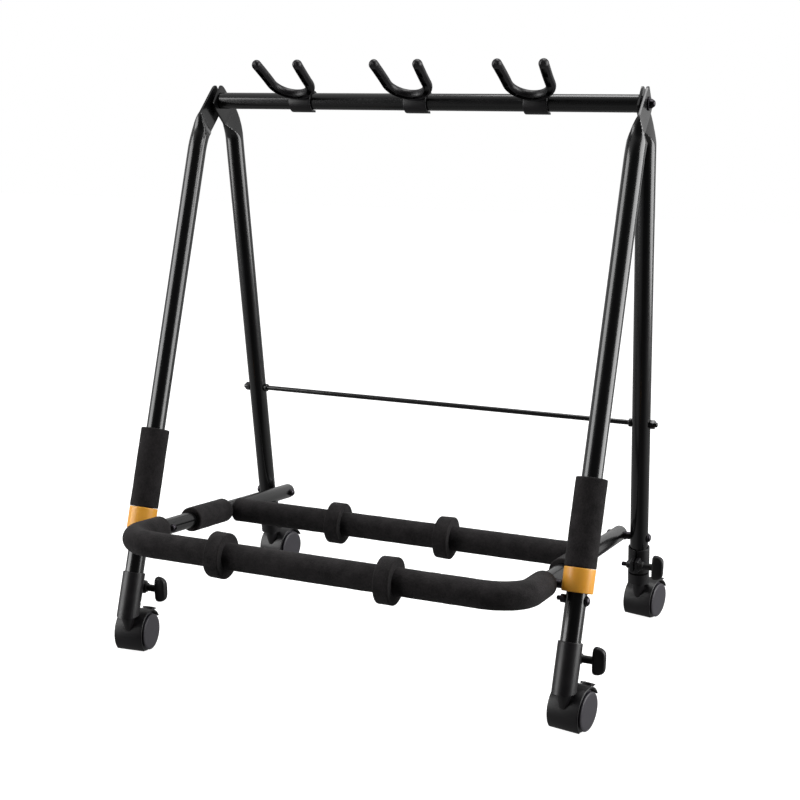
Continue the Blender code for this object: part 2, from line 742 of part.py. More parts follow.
def caster_hood(front, side):
    """Arched shell on a middle web, with the axle's hub and the stem."""
    axle = axle_point(front, side)
    stem = stem_point(front, side)
    half_web = WEB_THICKNESS / 2.0
    half_hood = CASTER_WIDTH / 2.0 - 0.0020
    section = [
        (-half_hood, HOOD_OUTER - 0.0012), (0.0012 - half_hood, HOOD_OUTER),
        (half_hood - 0.0012, HOOD_OUTER), (half_hood, HOOD_OUTER - 0.0012),
        (half_hood, HOOD_INNER), (half_web, HOOD_INNER), (half_web, 0.008),
        (-half_web, 0.008), (-half_web, HOOD_INNER), (-half_hood, HOOD_INNER),
    ]
    rows = []
    for i in range(HOOD_STEPS + 1):
        angle = HOOD_FRONT_ANGLE + (HOOD_REAR_ANGLE - HOOD_FRONT_ANGLE) * i / HOOD_STEPS
        rows.append([around_axle(axle, angle, radius) + ACROSS * x for x, radius in section])
    mesh = skin(rows)
    hub = half_web + 0.0006
    bore = AXLE_DIAMETER / 2.0 + BOLT_CLEARANCE
    hub_ring = [(bore, -hub), (0.0095, -hub), (0.0095, hub), (bore, hub)]
    mesh = join(mesh, turned(hub_ring, axle, ACROSS, ROUND, closed=True))
    mesh = cross_hole(mesh, axle, bore, 0.006)
    top = stem.z - RUNNING_GAP
    peg = STEM_DIAMETER / 2.0
    post = [
        (0, top - BOSS_LENGTH), (BOSS_TIP_DIAMETER / 2.0, top - BOSS_LENGTH + 0.001),
        (BOSS_DIAMETER / 2.0, top - 0.003), (BOSS_DIAMETER / 2.0, top), (peg, top),
        (peg, stem.z + STEM_LENGTH - 0.0015), (peg - 0.0015, stem.z + STEM_LENGTH),
        (0, stem.z + STEM_LENGTH),
    ]
    boss = turned(post, Vector((stem.x, stem.y, 0.0)), UP, ROUND)
    room = HOOD_INNER + 0.0004
    for end in (-1.0, 1.0):
        start = axle + ACROSS * (end * half_web)
        pocket = rod_between(start, axle + ACROSS * (end * 0.04), room, FINE)
        boss = cut(boss, pocket)
    return join(mesh, boss)


def caster_wheel(front, side, outward):
    """One of the two wheels, with a blind bore for the axle."""
    axle = axle_point(front, side)
    half_web = WEB_THICKNESS / 2.0
    inside = half_web + 0.0012
    face = CASTER_WIDTH / 2.0
    bore = AXLE_DIAMETER / 2.0 + GAP
    radius = WHEEL_RADIUS
    profile = [
        (0, inside + 0.015), (bore, inside + 0.015), (bore, inside), (0.0085, inside),
        (0.0085, inside + 0.0060), (radius - 0.0050, inside + 0.0060), (radius - 0.0050, inside),
        (radius, inside), (radius, face - 0.0030), (radius - 0.0030, face), (0, face),
    ]
    return turned(profile, axle, ACROSS * outward, FINE)


def axle_pin(front, side):
    axle = axle_point(front, side)
    reach = ACROSS * (WEB_THICKNESS / 2.0 + 0.0012 + 0.0145)
    return rod_between(axle - reach, axle + reach, AXLE_DIAMETER / 2.0, COARSE)


def tab_hinge(front, side):
    radius = HOOD_OUTER + RUNNING_GAP + TAB_THICKNESS / 2.0
    return around_axle(axle_point(front, side), TAB_ANGLE, radius) + ACROSS * TAB_OFFSET


def brake_tab(front, side):
    """Small foot lever that stands off the top of the hood at the back."""
    hinge = tab_hinge(front, side)
    slope = math.pi / 2.0 - TAB_ANGLE
    along = Vector((0.0, math.cos(slope), math.sin(slope)))
    lift = Vector((0.0, -math.sin(slope), math.cos(slope)))
    half = TAB_THICKNESS / 2.0
    outline = [
        (0.0, -half), (TAB_LENGTH, -half * 0.2), (TAB_LENGTH + 0.001, half * 0.8),
        (TAB_LENGTH - 0.001, half * 1.4), (TAB_LENGTH * 0.55, half), (0.0, half),
        (-half * 0.8, half * 0.5), (-half * 0.8, -half * 0.5),
    ]
    rows = []
    for x in (-TAB_WIDTH / 2.0, TAB_WIDTH / 2.0):
        rows.append([hinge + along * u + lift * v + ACROSS * x for u, v in outline])
    return skin(rows)


# ---------------------------------------------------------------- yokes

def yoke_fork(x):
    """Round-armed U that leans forward and up from the front of the clip."""
    forward = Vector((0.0, -math.cos(YOKE_RISE), math.sin(YOKE_RISE)))
    lift = Vector((0.0, math.sin(YOKE_RISE), math.cos(YOKE_RISE)))
    arm = YOKE_ARM_DIAMETER / 2.0
    spread = YOKE_SPREAD / 2.0
    base = TOP_PIVOT + Vector((x, -YOKE_SETBACK, YOKE_LIFT))
    path = [(math.pi, YOKE_DEPTH)]
    for i in range(YOKE_STEPS + 1):
        path.append((math.pi + math.pi * i / YOKE_STEPS, None))
    path.append((2.0 * math.pi, YOKE_DEPTH))
    rows = []
    for angle, reach in path:
        u = spread * math.cos(angle)
        v = spread * (1.0 + math.sin(angle))
        if reach:
            u += math.copysign(YOKE_FLARE, u)
            v = reach
        side = ACROSS * -math.cos(angle) - forward * math.sin(angle)
        rows.append(oval(base + ACROSS * u + forward * v, side, lift, arm, arm, COARSE))
    for end in (-1.0, 1.0):
        cap = []
        for along, share in ((0.60, 0.80), (0.92, 0.38)):
            spot = base + forward * (YOKE_DEPTH + arm * along) + ACROSS * (end * (spread + YOKE_FLARE))
            cap.append(oval(spot, ACROSS * -end, lift, arm * share, arm * share, COARSE))
        rows = cap[::-1] + rows if end < 0 else rows + cap
    return skin(rows)


def yoke(x):
    """Clip that snaps on the bar, with a U-shaped fork for a neck."""
    centre = TOP_PIVOT + ACROSS * x
    inner = BAR_DIAMETER / 2.0 + RUNNING_GAP
    outer = inner + YOKE_CLIP_WALL
    half = YOKE_CLIP_WIDTH / 2.0
    mouth = YOKE_CLIP_MOUTH / 2.0
    rows = []
    for i in range(CLIP_STEPS + 1):
        angle = YOKE_CLIP_TURN + mouth + (2.0 * math.pi - 2.0 * mouth) * i / CLIP_STEPS
        spoke = Vector((0.0, math.cos(angle), -math.sin(angle)))
        rows.append([centre + spoke * r + ACROSS * w for r, w in
                     ((inner, -half), (outer, -half), (outer, half), (inner, half))])
    reach = ACROSS * (YOKE_CLIP_WIDTH * 2.0)
    room = rod_between(centre - reach, centre + reach, inner + YOKE_CLIP_WALL * 0.3, FINE)
    return join(cut(yoke_fork(x), room), skin(rows))


# ---------------------------------------------------------------- assembly

def side_name(side):
    return "left" if side < 0 else "right"


def build_caster(holder_frame, front, side):
    """Socket, wing screw, hood, wheels, axle and brake tab of one corner."""
    corner = ("front_" if front else "rear_") + side_name(side)
    stem = stem_point(front, side)
    slide = make_empty("socket_frame_" + corner, holder_frame, stem)
    make_piece("socket_" + corner, socket(front, side), PLASTIC, slide, stem)
    screw = screw_point(front, side)
    make_piece("wing_screw_" + corner, wing_screw(front, side), PLASTIC, slide, screw)
    swivel = make_empty("swivel_frame_" + corner, slide, stem)
    swivel.rotation_euler = (0.0, 0.0, -math.radians(CASTER_TURNS[corner]))
    make_piece("caster_hood_" + corner, caster_hood(front, side), PLASTIC, swivel, stem)
    axle = axle_point(front, side)
    spin = make_empty("axle_frame_" + corner, swivel, axle)
    make_piece("axle_" + corner, axle_pin(front, side), STEEL, spin, axle)
    for outward in (-1.0, 1.0):
        name = "wheel_" + corner + ("_a" if outward < 0 else "_b")
        make_piece(name, caster_wheel(front, side, outward), TYRE, spin, axle)
    make_piece("brake_tab_" + corner, brake_tab(front, side), PLASTIC, swivel, tab_hinge(front, side))


def build_front_frame(rack):
    make_piece("top_bar", top_bar(), ENAMEL, rack, TOP_PIVOT)
    for side in (-1.0, 1.0):
        name = side_name(side)
        make_piece("front_leg_" + name, leg(True, side), ENAMEL, rack, TOP_PIVOT + ACROSS * leg_x(True, side))
        make_piece("top_bolt_" + name, top_bolt(side), STEEL, rack, TOP_PIVOT)
        stop = leg_point(True, STOP_BOLT_HEIGHT, leg_x(True, side))
        make_piece("stop_bolt_" + name, stop_bolt(side), STEEL, rack, stop)
        base = leg_point(True, COLLAR_BOTTOM, leg_x(True, side))
        grip = make_empty("grip_frame_" + name, rack, base)
        make_piece("grip_collar_" + name, grip_collar(side), YELLOW, grip, base)
        make_piece("grip_foam_" + name, grip_foam(side), FOAM, grip, base)
    for x, place in zip(YOKE_PLACES, ("left", "middle", "right")):
        make_piece("yoke_" + place, yoke(x), PLASTIC, rack, TOP_PIVOT + ACROSS * x)


def build_rear_frame(rack):
    rear = make_empty("rear_frame", rack, TOP_PIVOT)
    for side in (-1.0, 1.0):
        name = side_name(side)
        place = TOP_PIVOT + ACROSS * leg_x(False, side)
        make_piece("rear_leg_" + name, leg(False, side), ENAMEL, rear, place)
    make_piece("stabilizer_rod", stabilizer_rod(), ENAMEL, rear, leg_point(False, ROD_HEIGHT))
    return rear


def build_rest(rear):
    rest = make_empty("rest_frame", rear, REAR_PIVOT)
    make_piece("rest_tube", rest_tube(), ENAMEL, rest, REAR_PIVOT)
    make_piece("cross_tube", cross_tube(), ENAMEL, rest, CROSS_BAR)
    make_piece("front_foam", front_foam(), FOAM, rest, FRONT_BAR)
    make_piece("cross_foam", cross_foam(), FOAM, rest, CROSS_BAR)
    for side in (-1.0, 1.0):
        name = side_name(side)
        arm = REAR_PIVOT + ACROSS * (side * REST_ARM_X)
        make_piece("side_foam_" + name, side_foam(side), FOAM, rest, arm)
        make_piece("front_pivot_bolt_" + name, pivot_bolt(side, True), STEEL, rest, FRONT_PIVOT)
        make_piece("rear_pivot_bolt_" + name, pivot_bolt(side, False), STEEL, rest, REAR_PIVOT)
    for bar, places, label in ((FRONT_BAR, FRONT_RING_PLACES, "front"), (CROSS_BAR, REAR_RING_PLACES, "rear")):
        for x, side in zip(places, (-1.0, 1.0)):
            name = "divider_ring_" + label + "_" + side_name(side)
            make_piece(name, foam_ring(bar, x), FOAM, rest, bar + ACROSS * x)


def stand_on_origin(rack):
    """Move the rack so that its footprint's middle is at the origin, on the floor."""
    bpy.context.view_layer.update()
    low = Vector((1e9, 1e9, 1e9))
    high = -low
    for piece in bpy.data.objects:
        if piece.type != "MESH":
            continue
        for corner in piece.data.vertices:
            point = piece.matrix_world @ corner.co
            for i in range(3):
                low[i] = min(low[i], point[i])
                high[i] = max(high[i], point[i])
    rack.location -= Vector(((low.x + high.x) / 2.0, (low.y + high.y) / 2.0, low.z))


def main():
    rack = make_empty("rack", None, Vector((0.0, 0.0, 0.0)))
    build_front_frame(rack)
    rear = build_rear_frame(rack)
    build_rest(rear)
    for side in (-1.0, 1.0):
        build_caster(rack, True, side)
        build_caster(rear, False, side)
    stand_on_origin(rack)
    bpy.context.view_layer.update()


main()
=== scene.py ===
import json
import math

import bmesh
import bpy
from mathutils import Matrix, Vector, noise


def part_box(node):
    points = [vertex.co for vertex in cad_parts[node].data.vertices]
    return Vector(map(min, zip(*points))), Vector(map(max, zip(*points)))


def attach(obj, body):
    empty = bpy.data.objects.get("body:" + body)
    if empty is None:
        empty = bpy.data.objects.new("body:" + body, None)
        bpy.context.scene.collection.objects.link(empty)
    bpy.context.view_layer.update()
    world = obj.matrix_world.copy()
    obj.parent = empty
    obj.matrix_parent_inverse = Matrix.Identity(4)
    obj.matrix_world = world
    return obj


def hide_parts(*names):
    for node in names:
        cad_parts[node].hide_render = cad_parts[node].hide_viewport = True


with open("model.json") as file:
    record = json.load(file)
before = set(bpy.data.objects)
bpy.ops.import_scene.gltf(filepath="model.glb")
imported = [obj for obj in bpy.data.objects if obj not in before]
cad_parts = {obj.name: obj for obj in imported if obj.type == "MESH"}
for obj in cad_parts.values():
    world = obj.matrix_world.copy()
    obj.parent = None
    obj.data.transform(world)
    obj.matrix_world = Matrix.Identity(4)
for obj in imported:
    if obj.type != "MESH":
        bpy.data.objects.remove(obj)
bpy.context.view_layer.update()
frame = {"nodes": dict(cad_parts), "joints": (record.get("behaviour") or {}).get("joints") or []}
joints = {joint["name"]: joint for joint in frame["joints"]}
print("frame loaded,", len(frame["nodes"]), "nodes")

# The frame's own sizes, in metres. Heights count from the floor, under the top bar.
rack = {
    "barHeight": 0.7331,
    "barRadius": 0.0111,
    "legRadius": 0.0127,
    "frontLegX": 0.3061,
    "rearLegX": 0.2986,
    "frontLean": math.radians(20.2),
    "rearLean": math.radians(8.4),
    "frontSetback": 0.0334,
    "rearSetback": 0.0299,
    "legBottom": 0.078,
    "bladeLean": math.radians(49.0),
    "bladeHalf": 0.0016,
    "bladeHalfWidth": 0.01925,
    "bladeBeyond": 0.014,
}

across = Vector((1.0, 0.0, 0.0))
back = Vector((0.0, 1.0, 0.0))
upright = Vector((0.0, 0.0, 1.0))
topPivot = Vector(joints["rear_fold"]["pos_m"])
origin = topPivot - upright * rack["barHeight"]
sides = (("left", -1.0), ("right", 1.0))
corners = [(front, name, sign) for front in (True, False) for name, sign in sides]


# Colours and materials.

def linear(hexColour):
    # sRGB hex to the linear values that Blender's sockets hold
    values = []
    for i in (0, 2, 4):
        c = int(hexColour[i:i + 2], 16) / 255.0
        values.append(c / 12.92 if c <= 0.04045 else ((c + 0.055) / 1.055) ** 2.4)
    return (*values, 1.0)


def addNode(tree, kind, settings=None, links=None):
    # settings name the node's own fields or its inputs; links name inputs
    node = tree.nodes.new(kind)
    for key, value in (settings or {}).items():
        if isinstance(key, int) or key in node.inputs:
            node.inputs[key].default_value = value
        else:
            setattr(node, key, value)
    for key, socket in (links or {}).items():
        tree.links.new(socket, node.inputs[key])
    return node


def startMaterial(name, settings):
    material = bpy.data.materials.new(name)
    material.use_nodes = True
    tree = material.node_tree
    shader = tree.nodes["Principled BSDF"]
    for key, value in settings.items():
        shader.inputs[key].default_value = value
    place = addNode(tree, "ShaderNodeTexCoord").outputs["Object"]
    return material, tree, shader, place


def blendColours(tree, factor, first, second):
    node = addNode(tree, "ShaderNodeMix", {"data_type": "RGBA"})
    tree.links.new(factor, node.inputs[0])
    node.inputs[6].default_value = linear(first)
    node.inputs[7].default_value = linear(second)
    return node.outputs[2]


def spread(tree, value, low, high):
    return addNode(tree, "ShaderNodeMapRange", {"To Min": low, "To Max": high},
                   {"Value": value}).outputs["Result"]


def addBump(tree, shader, height, strength, distance):
    bump = addNode(tree, "ShaderNodeBump", {"Strength": strength, "Distance": distance}, {"Height": height})
    tree.links.new(bump.outputs["Normal"], shader.inputs["Normal"])


def makeEnamel():
    # Baked black enamel on steel tube: deep black, wet gloss, a faint orange peel of about 4 mm
    material, tree, shader, place = startMaterial("baked black enamel", {
        "Base Color": linear("09090A"), "IOR": 1.5, "Coat Weight": 0.5, "Coat Roughness": 0.12,
        "Coat IOR": 1.5,
    })
    peel = addNode(tree, "ShaderNodeTexNoise", {"Scale": 240.0, "Detail": 1.0}, {"Vector": place})
    wear = addNode(tree, "ShaderNodeTexNoise", {"Scale": 38.0, "Detail": 5.0, "Roughness": 0.6},
                   {"Vector": place})
    tree.links.new(spread(tree, wear.outputs["Fac"], 0.16, 0.30), shader.inputs["Roughness"])
    addBump(tree, shader, peel.outputs["Fac"], 0.05, 0.0001)
    return material


def makeFoam():
    # Closed-cell nitrile foam: dull charcoal skin, pores about 1.2 mm across, a grey bloom in soft patches
    material, tree, shader, place = startMaterial("closed cell foam", {
        "IOR": 1.4, "Roughness": 0.95, "Sheen Weight": 0.06, "Sheen Roughness": 0.6,
        "Specular IOR Level": 0.12,
    })
    pores = addNode(tree, "ShaderNodeTexVoronoi", {"Scale": 800.0}, {"Vector": place})
    grain = addNode(tree, "ShaderNodeTexNoise", {"Scale": 380.0, "Detail": 5.0, "Roughness": 0.75},
                    {"Vector": place})
    bloom = addNode(tree, "ShaderNodeTexNoise", {"Scale": 60.0, "Detail": 4.0, "Roughness": 0.6},
                    {"Vector": place})
    patches = spread(tree, bloom.outputs["Fac"], -0.45, 0.70)
    mixed = addNode(tree, "ShaderNodeMath", {"operation": "MULTIPLY_ADD", "use_clamp": True, 1: 0.80},
                    {0: grain.outputs["Fac"], 2: patches})
    tree.links.new(blendColours(tree, mixed.outputs[0], "060606", "343132"), shader.inputs["Base Color"])
    height = addNode(tree, "ShaderNodeMath", {"operation": "ADD"},
                     {0: pores.outputs["Distance"], 1: grain.outputs["Fac"]})
    addBump(tree, shader, height.outputs[0], 0.6, 0.0006)
    return material


def makeMoulded(name, dark, light, roughness, grainDepth):
    # Injection-moulded nylon: spark-eroded satin grain of about half a millimetre, faint flow marks
    material, tree, shader, place = startMaterial(name, {"IOR": 1.5, "Specular IOR Level": 0.5})
    grain = addNode(tree, "ShaderNodeTexNoise", {"Scale": 1100.0, "Detail": 2.0}, {"Vector": place})
    flow = addNode(tree, "ShaderNodeTexNoise", {"Scale": 55.0, "Detail": 3.0, "Distortion": 0.8},
                   {"Vector": place})
    tree.links.new(blendColours(tree, flow.outputs["Fac"], dark, light), shader.inputs["Base Color"])
    tree.links.new(spread(tree, flow.outputs["Fac"], roughness - 0.06, roughness + 0.08),
                   shader.inputs["Roughness"])
    addBump(tree, shader, grain.outputs["Fac"], grainDepth, 0.0002)
    return material


def makeYellow():
    # Glossy moulded polypropylene in warm yellow; the colour varies a little with the wall behind it
    material, tree, shader, place = startMaterial("yellow polypropylene", {
        "IOR": 1.49, "Subsurface Weight": 0.12, "Subsurface Scale": 0.004,
        "Subsurface Radius": (1.0, 0.6, 0.2),
    })
    cloud = addNode(tree, "ShaderNodeTexNoise", {"Scale": 60.0, "Detail": 3.0}, {"Vector": place})
    grain = addNode(tree, "ShaderNodeTexNoise", {"Scale": 1200.0, "Detail": 2.0}, {"Vector": place})
    tree.links.new(blendColours(tree, cloud.outputs["Fac"], "F4A634", "FFBA48"),
                   shader.inputs["Base Color"])
    tree.links.new(spread(tree, cloud.outputs["Fac"], 0.30, 0.42), shader.inputs["Roughness"])
    addBump(tree, shader, grain.outputs["Fac"], 0.15, 0.0002)
    return material


def makeBlackSteel():
    # Zinc-plated steel with a black passivate: dark, half-bright, with fine turning marks
    material, tree, shader, place = startMaterial("black zinc steel", {"Metallic": 1.0})
    marks = addNode(tree, "ShaderNodeTexNoise", {"Scale": 900.0, "Detail": 4.0}, {"Vector": place})
    tree.links.new(blendColours(tree, marks.outputs["Fac"], "2A282B", "4A474C"),
                   shader.inputs["Base Color"])
    tree.links.new(spread(tree, marks.outputs["Fac"], 0.24, 0.42), shader.inputs["Roughness"])
    addBump(tree, shader, marks.outputs["Fac"], 0.15, 0.0001)
    return material


enamel = makeEnamel()
foam = makeFoam()
moulded = makeMoulded("satin black nylon", "100F11", "1A181B", 0.38, 0.12)
wheelPlastic = makeMoulded("satin grey nylon", "343237", "3F3D43", 0.40, 0.15)
yellow = makeYellow()
blackSteel = makeBlackSteel()
print("materials ready")


# Shape helpers.

def frameAbout(axis):
    start = back if abs(axis.x) > 0.9 else across
    side = (start - axis * start.dot(axis)).normalized()
    return side, axis.cross(side)


def ringPoints(centre, side, up, halfSide, halfUp, count, power=2.0):
    points = []
    for i in range(count):
        angle = 2.0 * math.pi * (i + 0.5) / count
        c, s = math.cos(angle), math.sin(angle)
        u = math.copysign(abs(c) ** (2.0 / power), c) * halfSide
        v = math.copysign(abs(s) ** (2.0 / power), s) * halfUp
        points.append(centre + side * u + up * v)
    return points


def skin(rows, loop=False):
    # rows of equal length are bridged; a row of one point is a pole; flat ends are closed
    mesh = bmesh.new()
    lines = [[mesh.verts.new(point) for point in row] for row in rows]
    pairs = list(zip(lines, lines[1:]))
    if loop:
        pairs.append((lines[-1], lines[0]))
    for first, second in pairs:
        count = max(len(first), len(second))
        for i in range(count):
            j = (i + 1) % count
            if len(first) == 1:
                mesh.faces.new((first[0], second[j], second[i]))
            elif len(second) == 1:
                mesh.faces.new((first[i], first[j], second[0]))
            else:
                mesh.faces.new((first[i], first[j], second[j], second[i]))
    if not loop:
        for line in (lines[0], lines[-1]):
            if len(line) > 2:
                mesh.faces.new(line)
    bmesh.ops.recalc_face_normals(mesh, faces=mesh.faces)
    return mesh


def rounded(profile, loop, steps=4):
    # a profile of (radius, height, corner) with arcs in its corners
    points = []
    count = len(profile)
    for i, entry in enumerate(profile):
        here = Vector(entry[:2])
        corner = entry[2] if len(entry) > 2 else 0.0
        if corner <= 0.0 or (not loop and i in (0, count - 1)):
            points.append(tuple(here))
            continue
        before = Vector(profile[i - 1][:2]) - here
        after = Vector(profile[(i + 1) % count][:2]) - here
        reach = min(corner, before.length * 0.49, after.length * 0.49)
        start = here + before.normalized() * reach
        end = here + after.normalized() * reach
        for k in range(steps + 1):
            t = k / steps
            points.append(tuple(start * (1 - t) ** 2 + here * (2 * t * (1 - t)) + end * t ** 2))
    return points


def lathe(profile, base, axis, count=48, loop=False, steps=4):
    side, up = frameAbout(axis)
    rows = []
    for radius, along in rounded(profile, loop, steps):
        centre = base + axis * along
        rows.append([centre] if radius < 1e-6 else ringPoints(centre, side, up, radius, radius, count))
    return skin(rows, loop)


def softBlock(centre, size, rotation, bevel):
    mesh = bmesh.new()
    bmesh.ops.create_cube(mesh, size=1.0)
    bmesh.ops.scale(mesh, vec=size, verts=mesh.verts)
    if bevel:
        bmesh.ops.bevel(mesh, geom=mesh.edges, offset=bevel, segments=3, profile=0.5, affect="EDGES")
    bmesh.ops.transform(mesh, matrix=Matrix.Translation(centre) @ Matrix.Rotation(rotation, 4, "X"),
                        verts=mesh.verts)
    return mesh


def combine(base, tool, operation):
    pieces = []
    for mesh in (base, tool):
        data = bpy.data.meshes.new("work")
        mesh.to_mesh(data)
        mesh.free()
        piece = bpy.data.objects.new("work", data)
        bpy.context.scene.collection.objects.link(piece)
        pieces.append(piece)
    modifier = pieces[0].modifiers.new("combine", "BOOLEAN")
    modifier.operation = operation
    modifier.solver = "EXACT"
    modifier.object = pieces[1]
    result = bmesh.new()
    result.from_object(pieces[0], bpy.context.evaluated_depsgraph_get())
    for piece in pieces:
        data = piece.data
        bpy.data.objects.remove(piece, do_unlink=True)
        bpy.data.meshes.remove(data)
    return result


def rodBetween(start, end, radius, count=32):
    axis = (end - start).normalized()
    length = (end - start).length
    return lathe([(0, 0), (radius, 0), (radius, length), (0, length)], start, axis, count)


def moved(mesh, matrix):
    copy = mesh.copy()
    bmesh.ops.transform(copy, matrix=matrix, verts=copy.verts)
    return copy


def settle(name, mesh, material, body, nodes, angle=32.0):
    # one finished piece: its place in its mesh, on its body, standing for its CAD nodes
    name = name.replace(" ", "-")
    data = bpy.data.meshes.new(name)
    mesh.to_mesh(data)
    mesh.free()
    data.materials.append(material)
    data.shade_smooth()
    data.set_sharp_from_angle(angle=math.radians(angle))
    piece = bpy.data.objects.new(name, data)
    bpy.context.scene.collection.objects.link(piece)
    return finishPiece(piece, body, nodes)


def finishPiece(piece, body, nodes):
    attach(piece, body)
    if nodes:
        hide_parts(*nodes)
    return piece


# Where things are.

def legUp(front):
    lean = rack["frontLean"] if front else -rack["rearLean"]
    return Vector((0.0, math.sin(lean), math.cos(lean)))


def legPoint(front, height, x=0.0):
    setback = -rack["frontSetback"] if front else rack["rearSetback"]
    lean = rack["frontLean"] if front else -rack["rearLean"]
    y = setback - (rack["barHeight"] - height) * math.tan(lean)
    return origin + Vector((x, y, height))


def legX(front, sign):
    return sign * (rack["frontLegX"] if front else rack["rearLegX"])


def cornerName(front, name):
    return ("front_" if front else "rear_") + name


def frameBody(front):
    return "front_frame" if front else "rear_frame"


rearPivot = Vector(joints["rest_lift"]["pos_m"])
frontPivotHeight = 0.1775
frontPivot = legPoint(True, frontPivotHeight)
restAlong = (frontPivot - rearPivot).normalized()
restUp = restAlong.cross(across)
restSpan = (frontPivot - rearPivot).length


# Tubes, swept along their centre lines by geometry nodes.

def makeTubeTree():
    tree = bpy.data.node_groups.new("tube along a line", "GeometryNodeTree")
    face = tree.interface
    face.new_socket("line", in_out="INPUT", socket_type="NodeSocketGeometry")
    face.new_socket("tube radius", in_out="INPUT", socket_type="NodeSocketFloat")
    face.new_socket("end rounding", in_out="INPUT", socket_type="NodeSocketFloat")
    face.new_socket("sides", in_out="INPUT", socket_type="NodeSocketInt")
    face.new_socket("finish", in_out="INPUT", socket_type="NodeSocketMaterial")
    face.new_socket("tube", in_out="OUTPUT", socket_type="NodeSocketGeometry")
    inputs = addNode(tree, "NodeGroupInput").outputs
    here = addNode(tree, "GeometryNodeSplineParameter").outputs["Length"]
    whole = addNode(tree, "GeometryNodeSplineLength").outputs["Length"]
    other = addNode(tree, "ShaderNodeMath", {"operation": "SUBTRACT"}, {0: whole, 1: here})
    nearest = addNode(tree, "ShaderNodeMath", {"operation": "MINIMUM"}, {0: here, 1: other.outputs[0]})
    share = addNode(tree, "ShaderNodeMath", {"operation": "DIVIDE", "use_clamp": True},
                    {0: nearest.outputs[0], 1: inputs["end rounding"]})
    fall = addNode(tree, "ShaderNodeMath", {"operation": "SUBTRACT", 0: 1.0}, {1: share.outputs[0]})
    square = addNode(tree, "ShaderNodeMath", {"operation": "MULTIPLY"},
                     {0: fall.outputs[0], 1: fall.outputs[0]})
    rest = addNode(tree, "ShaderNodeMath", {"operation": "SUBTRACT", 0: 1.0001}, {1: square.outputs[0]})
    root = addNode(tree, "ShaderNodeMath", {"operation": "SQRT"}, {0: rest.outputs[0]})
    radius = addNode(tree, "ShaderNodeMath", {"operation": "MULTIPLY"},
                     {0: root.outputs[0], 1: inputs["tube radius"]})
    circle = addNode(tree, "GeometryNodeCurvePrimitiveCircle", {"Radius": 1.0},
                     {"Resolution": inputs["sides"]})
    sweep = addNode(tree, "GeometryNodeCurveToMesh", {"Fill Caps": True},
                    {"Curve": inputs["line"], "Profile Curve": circle.outputs["Curve"],
                     "Scale": radius.outputs[0]})
    smooth = addNode(tree, "GeometryNodeSetShadeSmooth", {}, {"Geometry": sweep.outputs["Mesh"]})
    real = addNode(tree, "GeometryNodeRealizeInstances", {}, {"Geometry": smooth.outputs[0]})
    finish = addNode(tree, "GeometryNodeSetMaterial", {},
                     {"Geometry": real.outputs[0], "Material": inputs["finish"]})
    addNode(tree, "NodeGroupOutput", {}, {"tube": finish.outputs[0]})
    return tree


tubeTree = makeTubeTree()


def runTree(piece, tree, values):
    # puts the tree on an object, reads the result as a plain mesh and drops the modifier
    modifier = piece.modifiers.new(tree.name, "NODES")
    modifier.node_group = tree
    for item in tree.interface.items_tree:
        if item.in_out == "INPUT" and item.name in values:
            modifier[item.identifier] = values[item.name]
    bpy.context.view_layer.update()
    result = bpy.data.meshes.new_from_object(piece.evaluated_get(bpy.context.evaluated_depsgraph_get()))
    bpy.data.objects.remove(piece, do_unlink=True)
    return result


def endSpacing(length, rounding, middle):
    # distances along a line, close together where the ends are rounded
    spots = [rounding * (1.0 - math.cos(math.pi / 2.0 * k / 6.0)) for k in range(7)]
    return spots + [rounding + (length - 2.0 * rounding) * k / middle for k in range(1, middle)] + \
        [length - spot for spot in reversed(spots)]


def tubeMesh(name, points, radius, rounding, sides, material):
    line = bpy.data.curves.new(name + " line", "CURVE")
    line.dimensions = "3D"
    line.twist_mode = "MINIMUM"
    spline = line.splines.new("POLY")
    spline.points.add(len(points) - 1)
    for spot, point in zip(spline.points, points):
        spot.co = (*point, 1.0)
    carrier = bpy.data.objects.new(name + " line", line)
    bpy.context.scene.collection.objects.link(carrier)
    data = runTree(carrier, tubeTree, {"tube radius": radius, "end rounding": rounding, "sides": sides,
                                       "finish": material})
    mesh = bmesh.new()
    mesh.from_mesh(data)
    bmesh.ops.remove_doubles(mesh, verts=mesh.verts, dist=1e-6)
    bmesh.ops.recalc_face_normals(mesh, faces=mesh.faces)
    return mesh


def straightTube(name, start, end, radius, rounding, material, sides=48):
    length = (end - start).length
    axis = (end - start).normalized()
    points = [start + axis * spot for spot in endSpacing(length, rounding, 6)]
    return tubeMesh(name, points, radius, rounding, sides, material)


# Top bar and legs.

def makeTopBar():
    half = rack["rearLegX"] - rack["bladeHalf"] - 0.0003
    mesh = straightTube("top bar", topPivot - across * half, topPivot + across * half, rack["barRadius"],
                        0.0009, enamel)
    drip = topPivot + across * 0.288 - upright * rack["barRadius"]   # small drain hole near the right end
    mesh = combine(mesh, rodBetween(drip - upright * 0.004, drip + upright * 0.003, 0.0019), "DIFFERENCE")
    settle("top bar tube", mesh, enamel, "front_frame", ["top_bar"])


legSizes = {"bendSteps": 16, "frontBend": 0.100, "rearBend": 0.060, "around": 56,
            "flatFrom": (0.024, 0.000),
            "flatShare": (0.80, 0.85)}


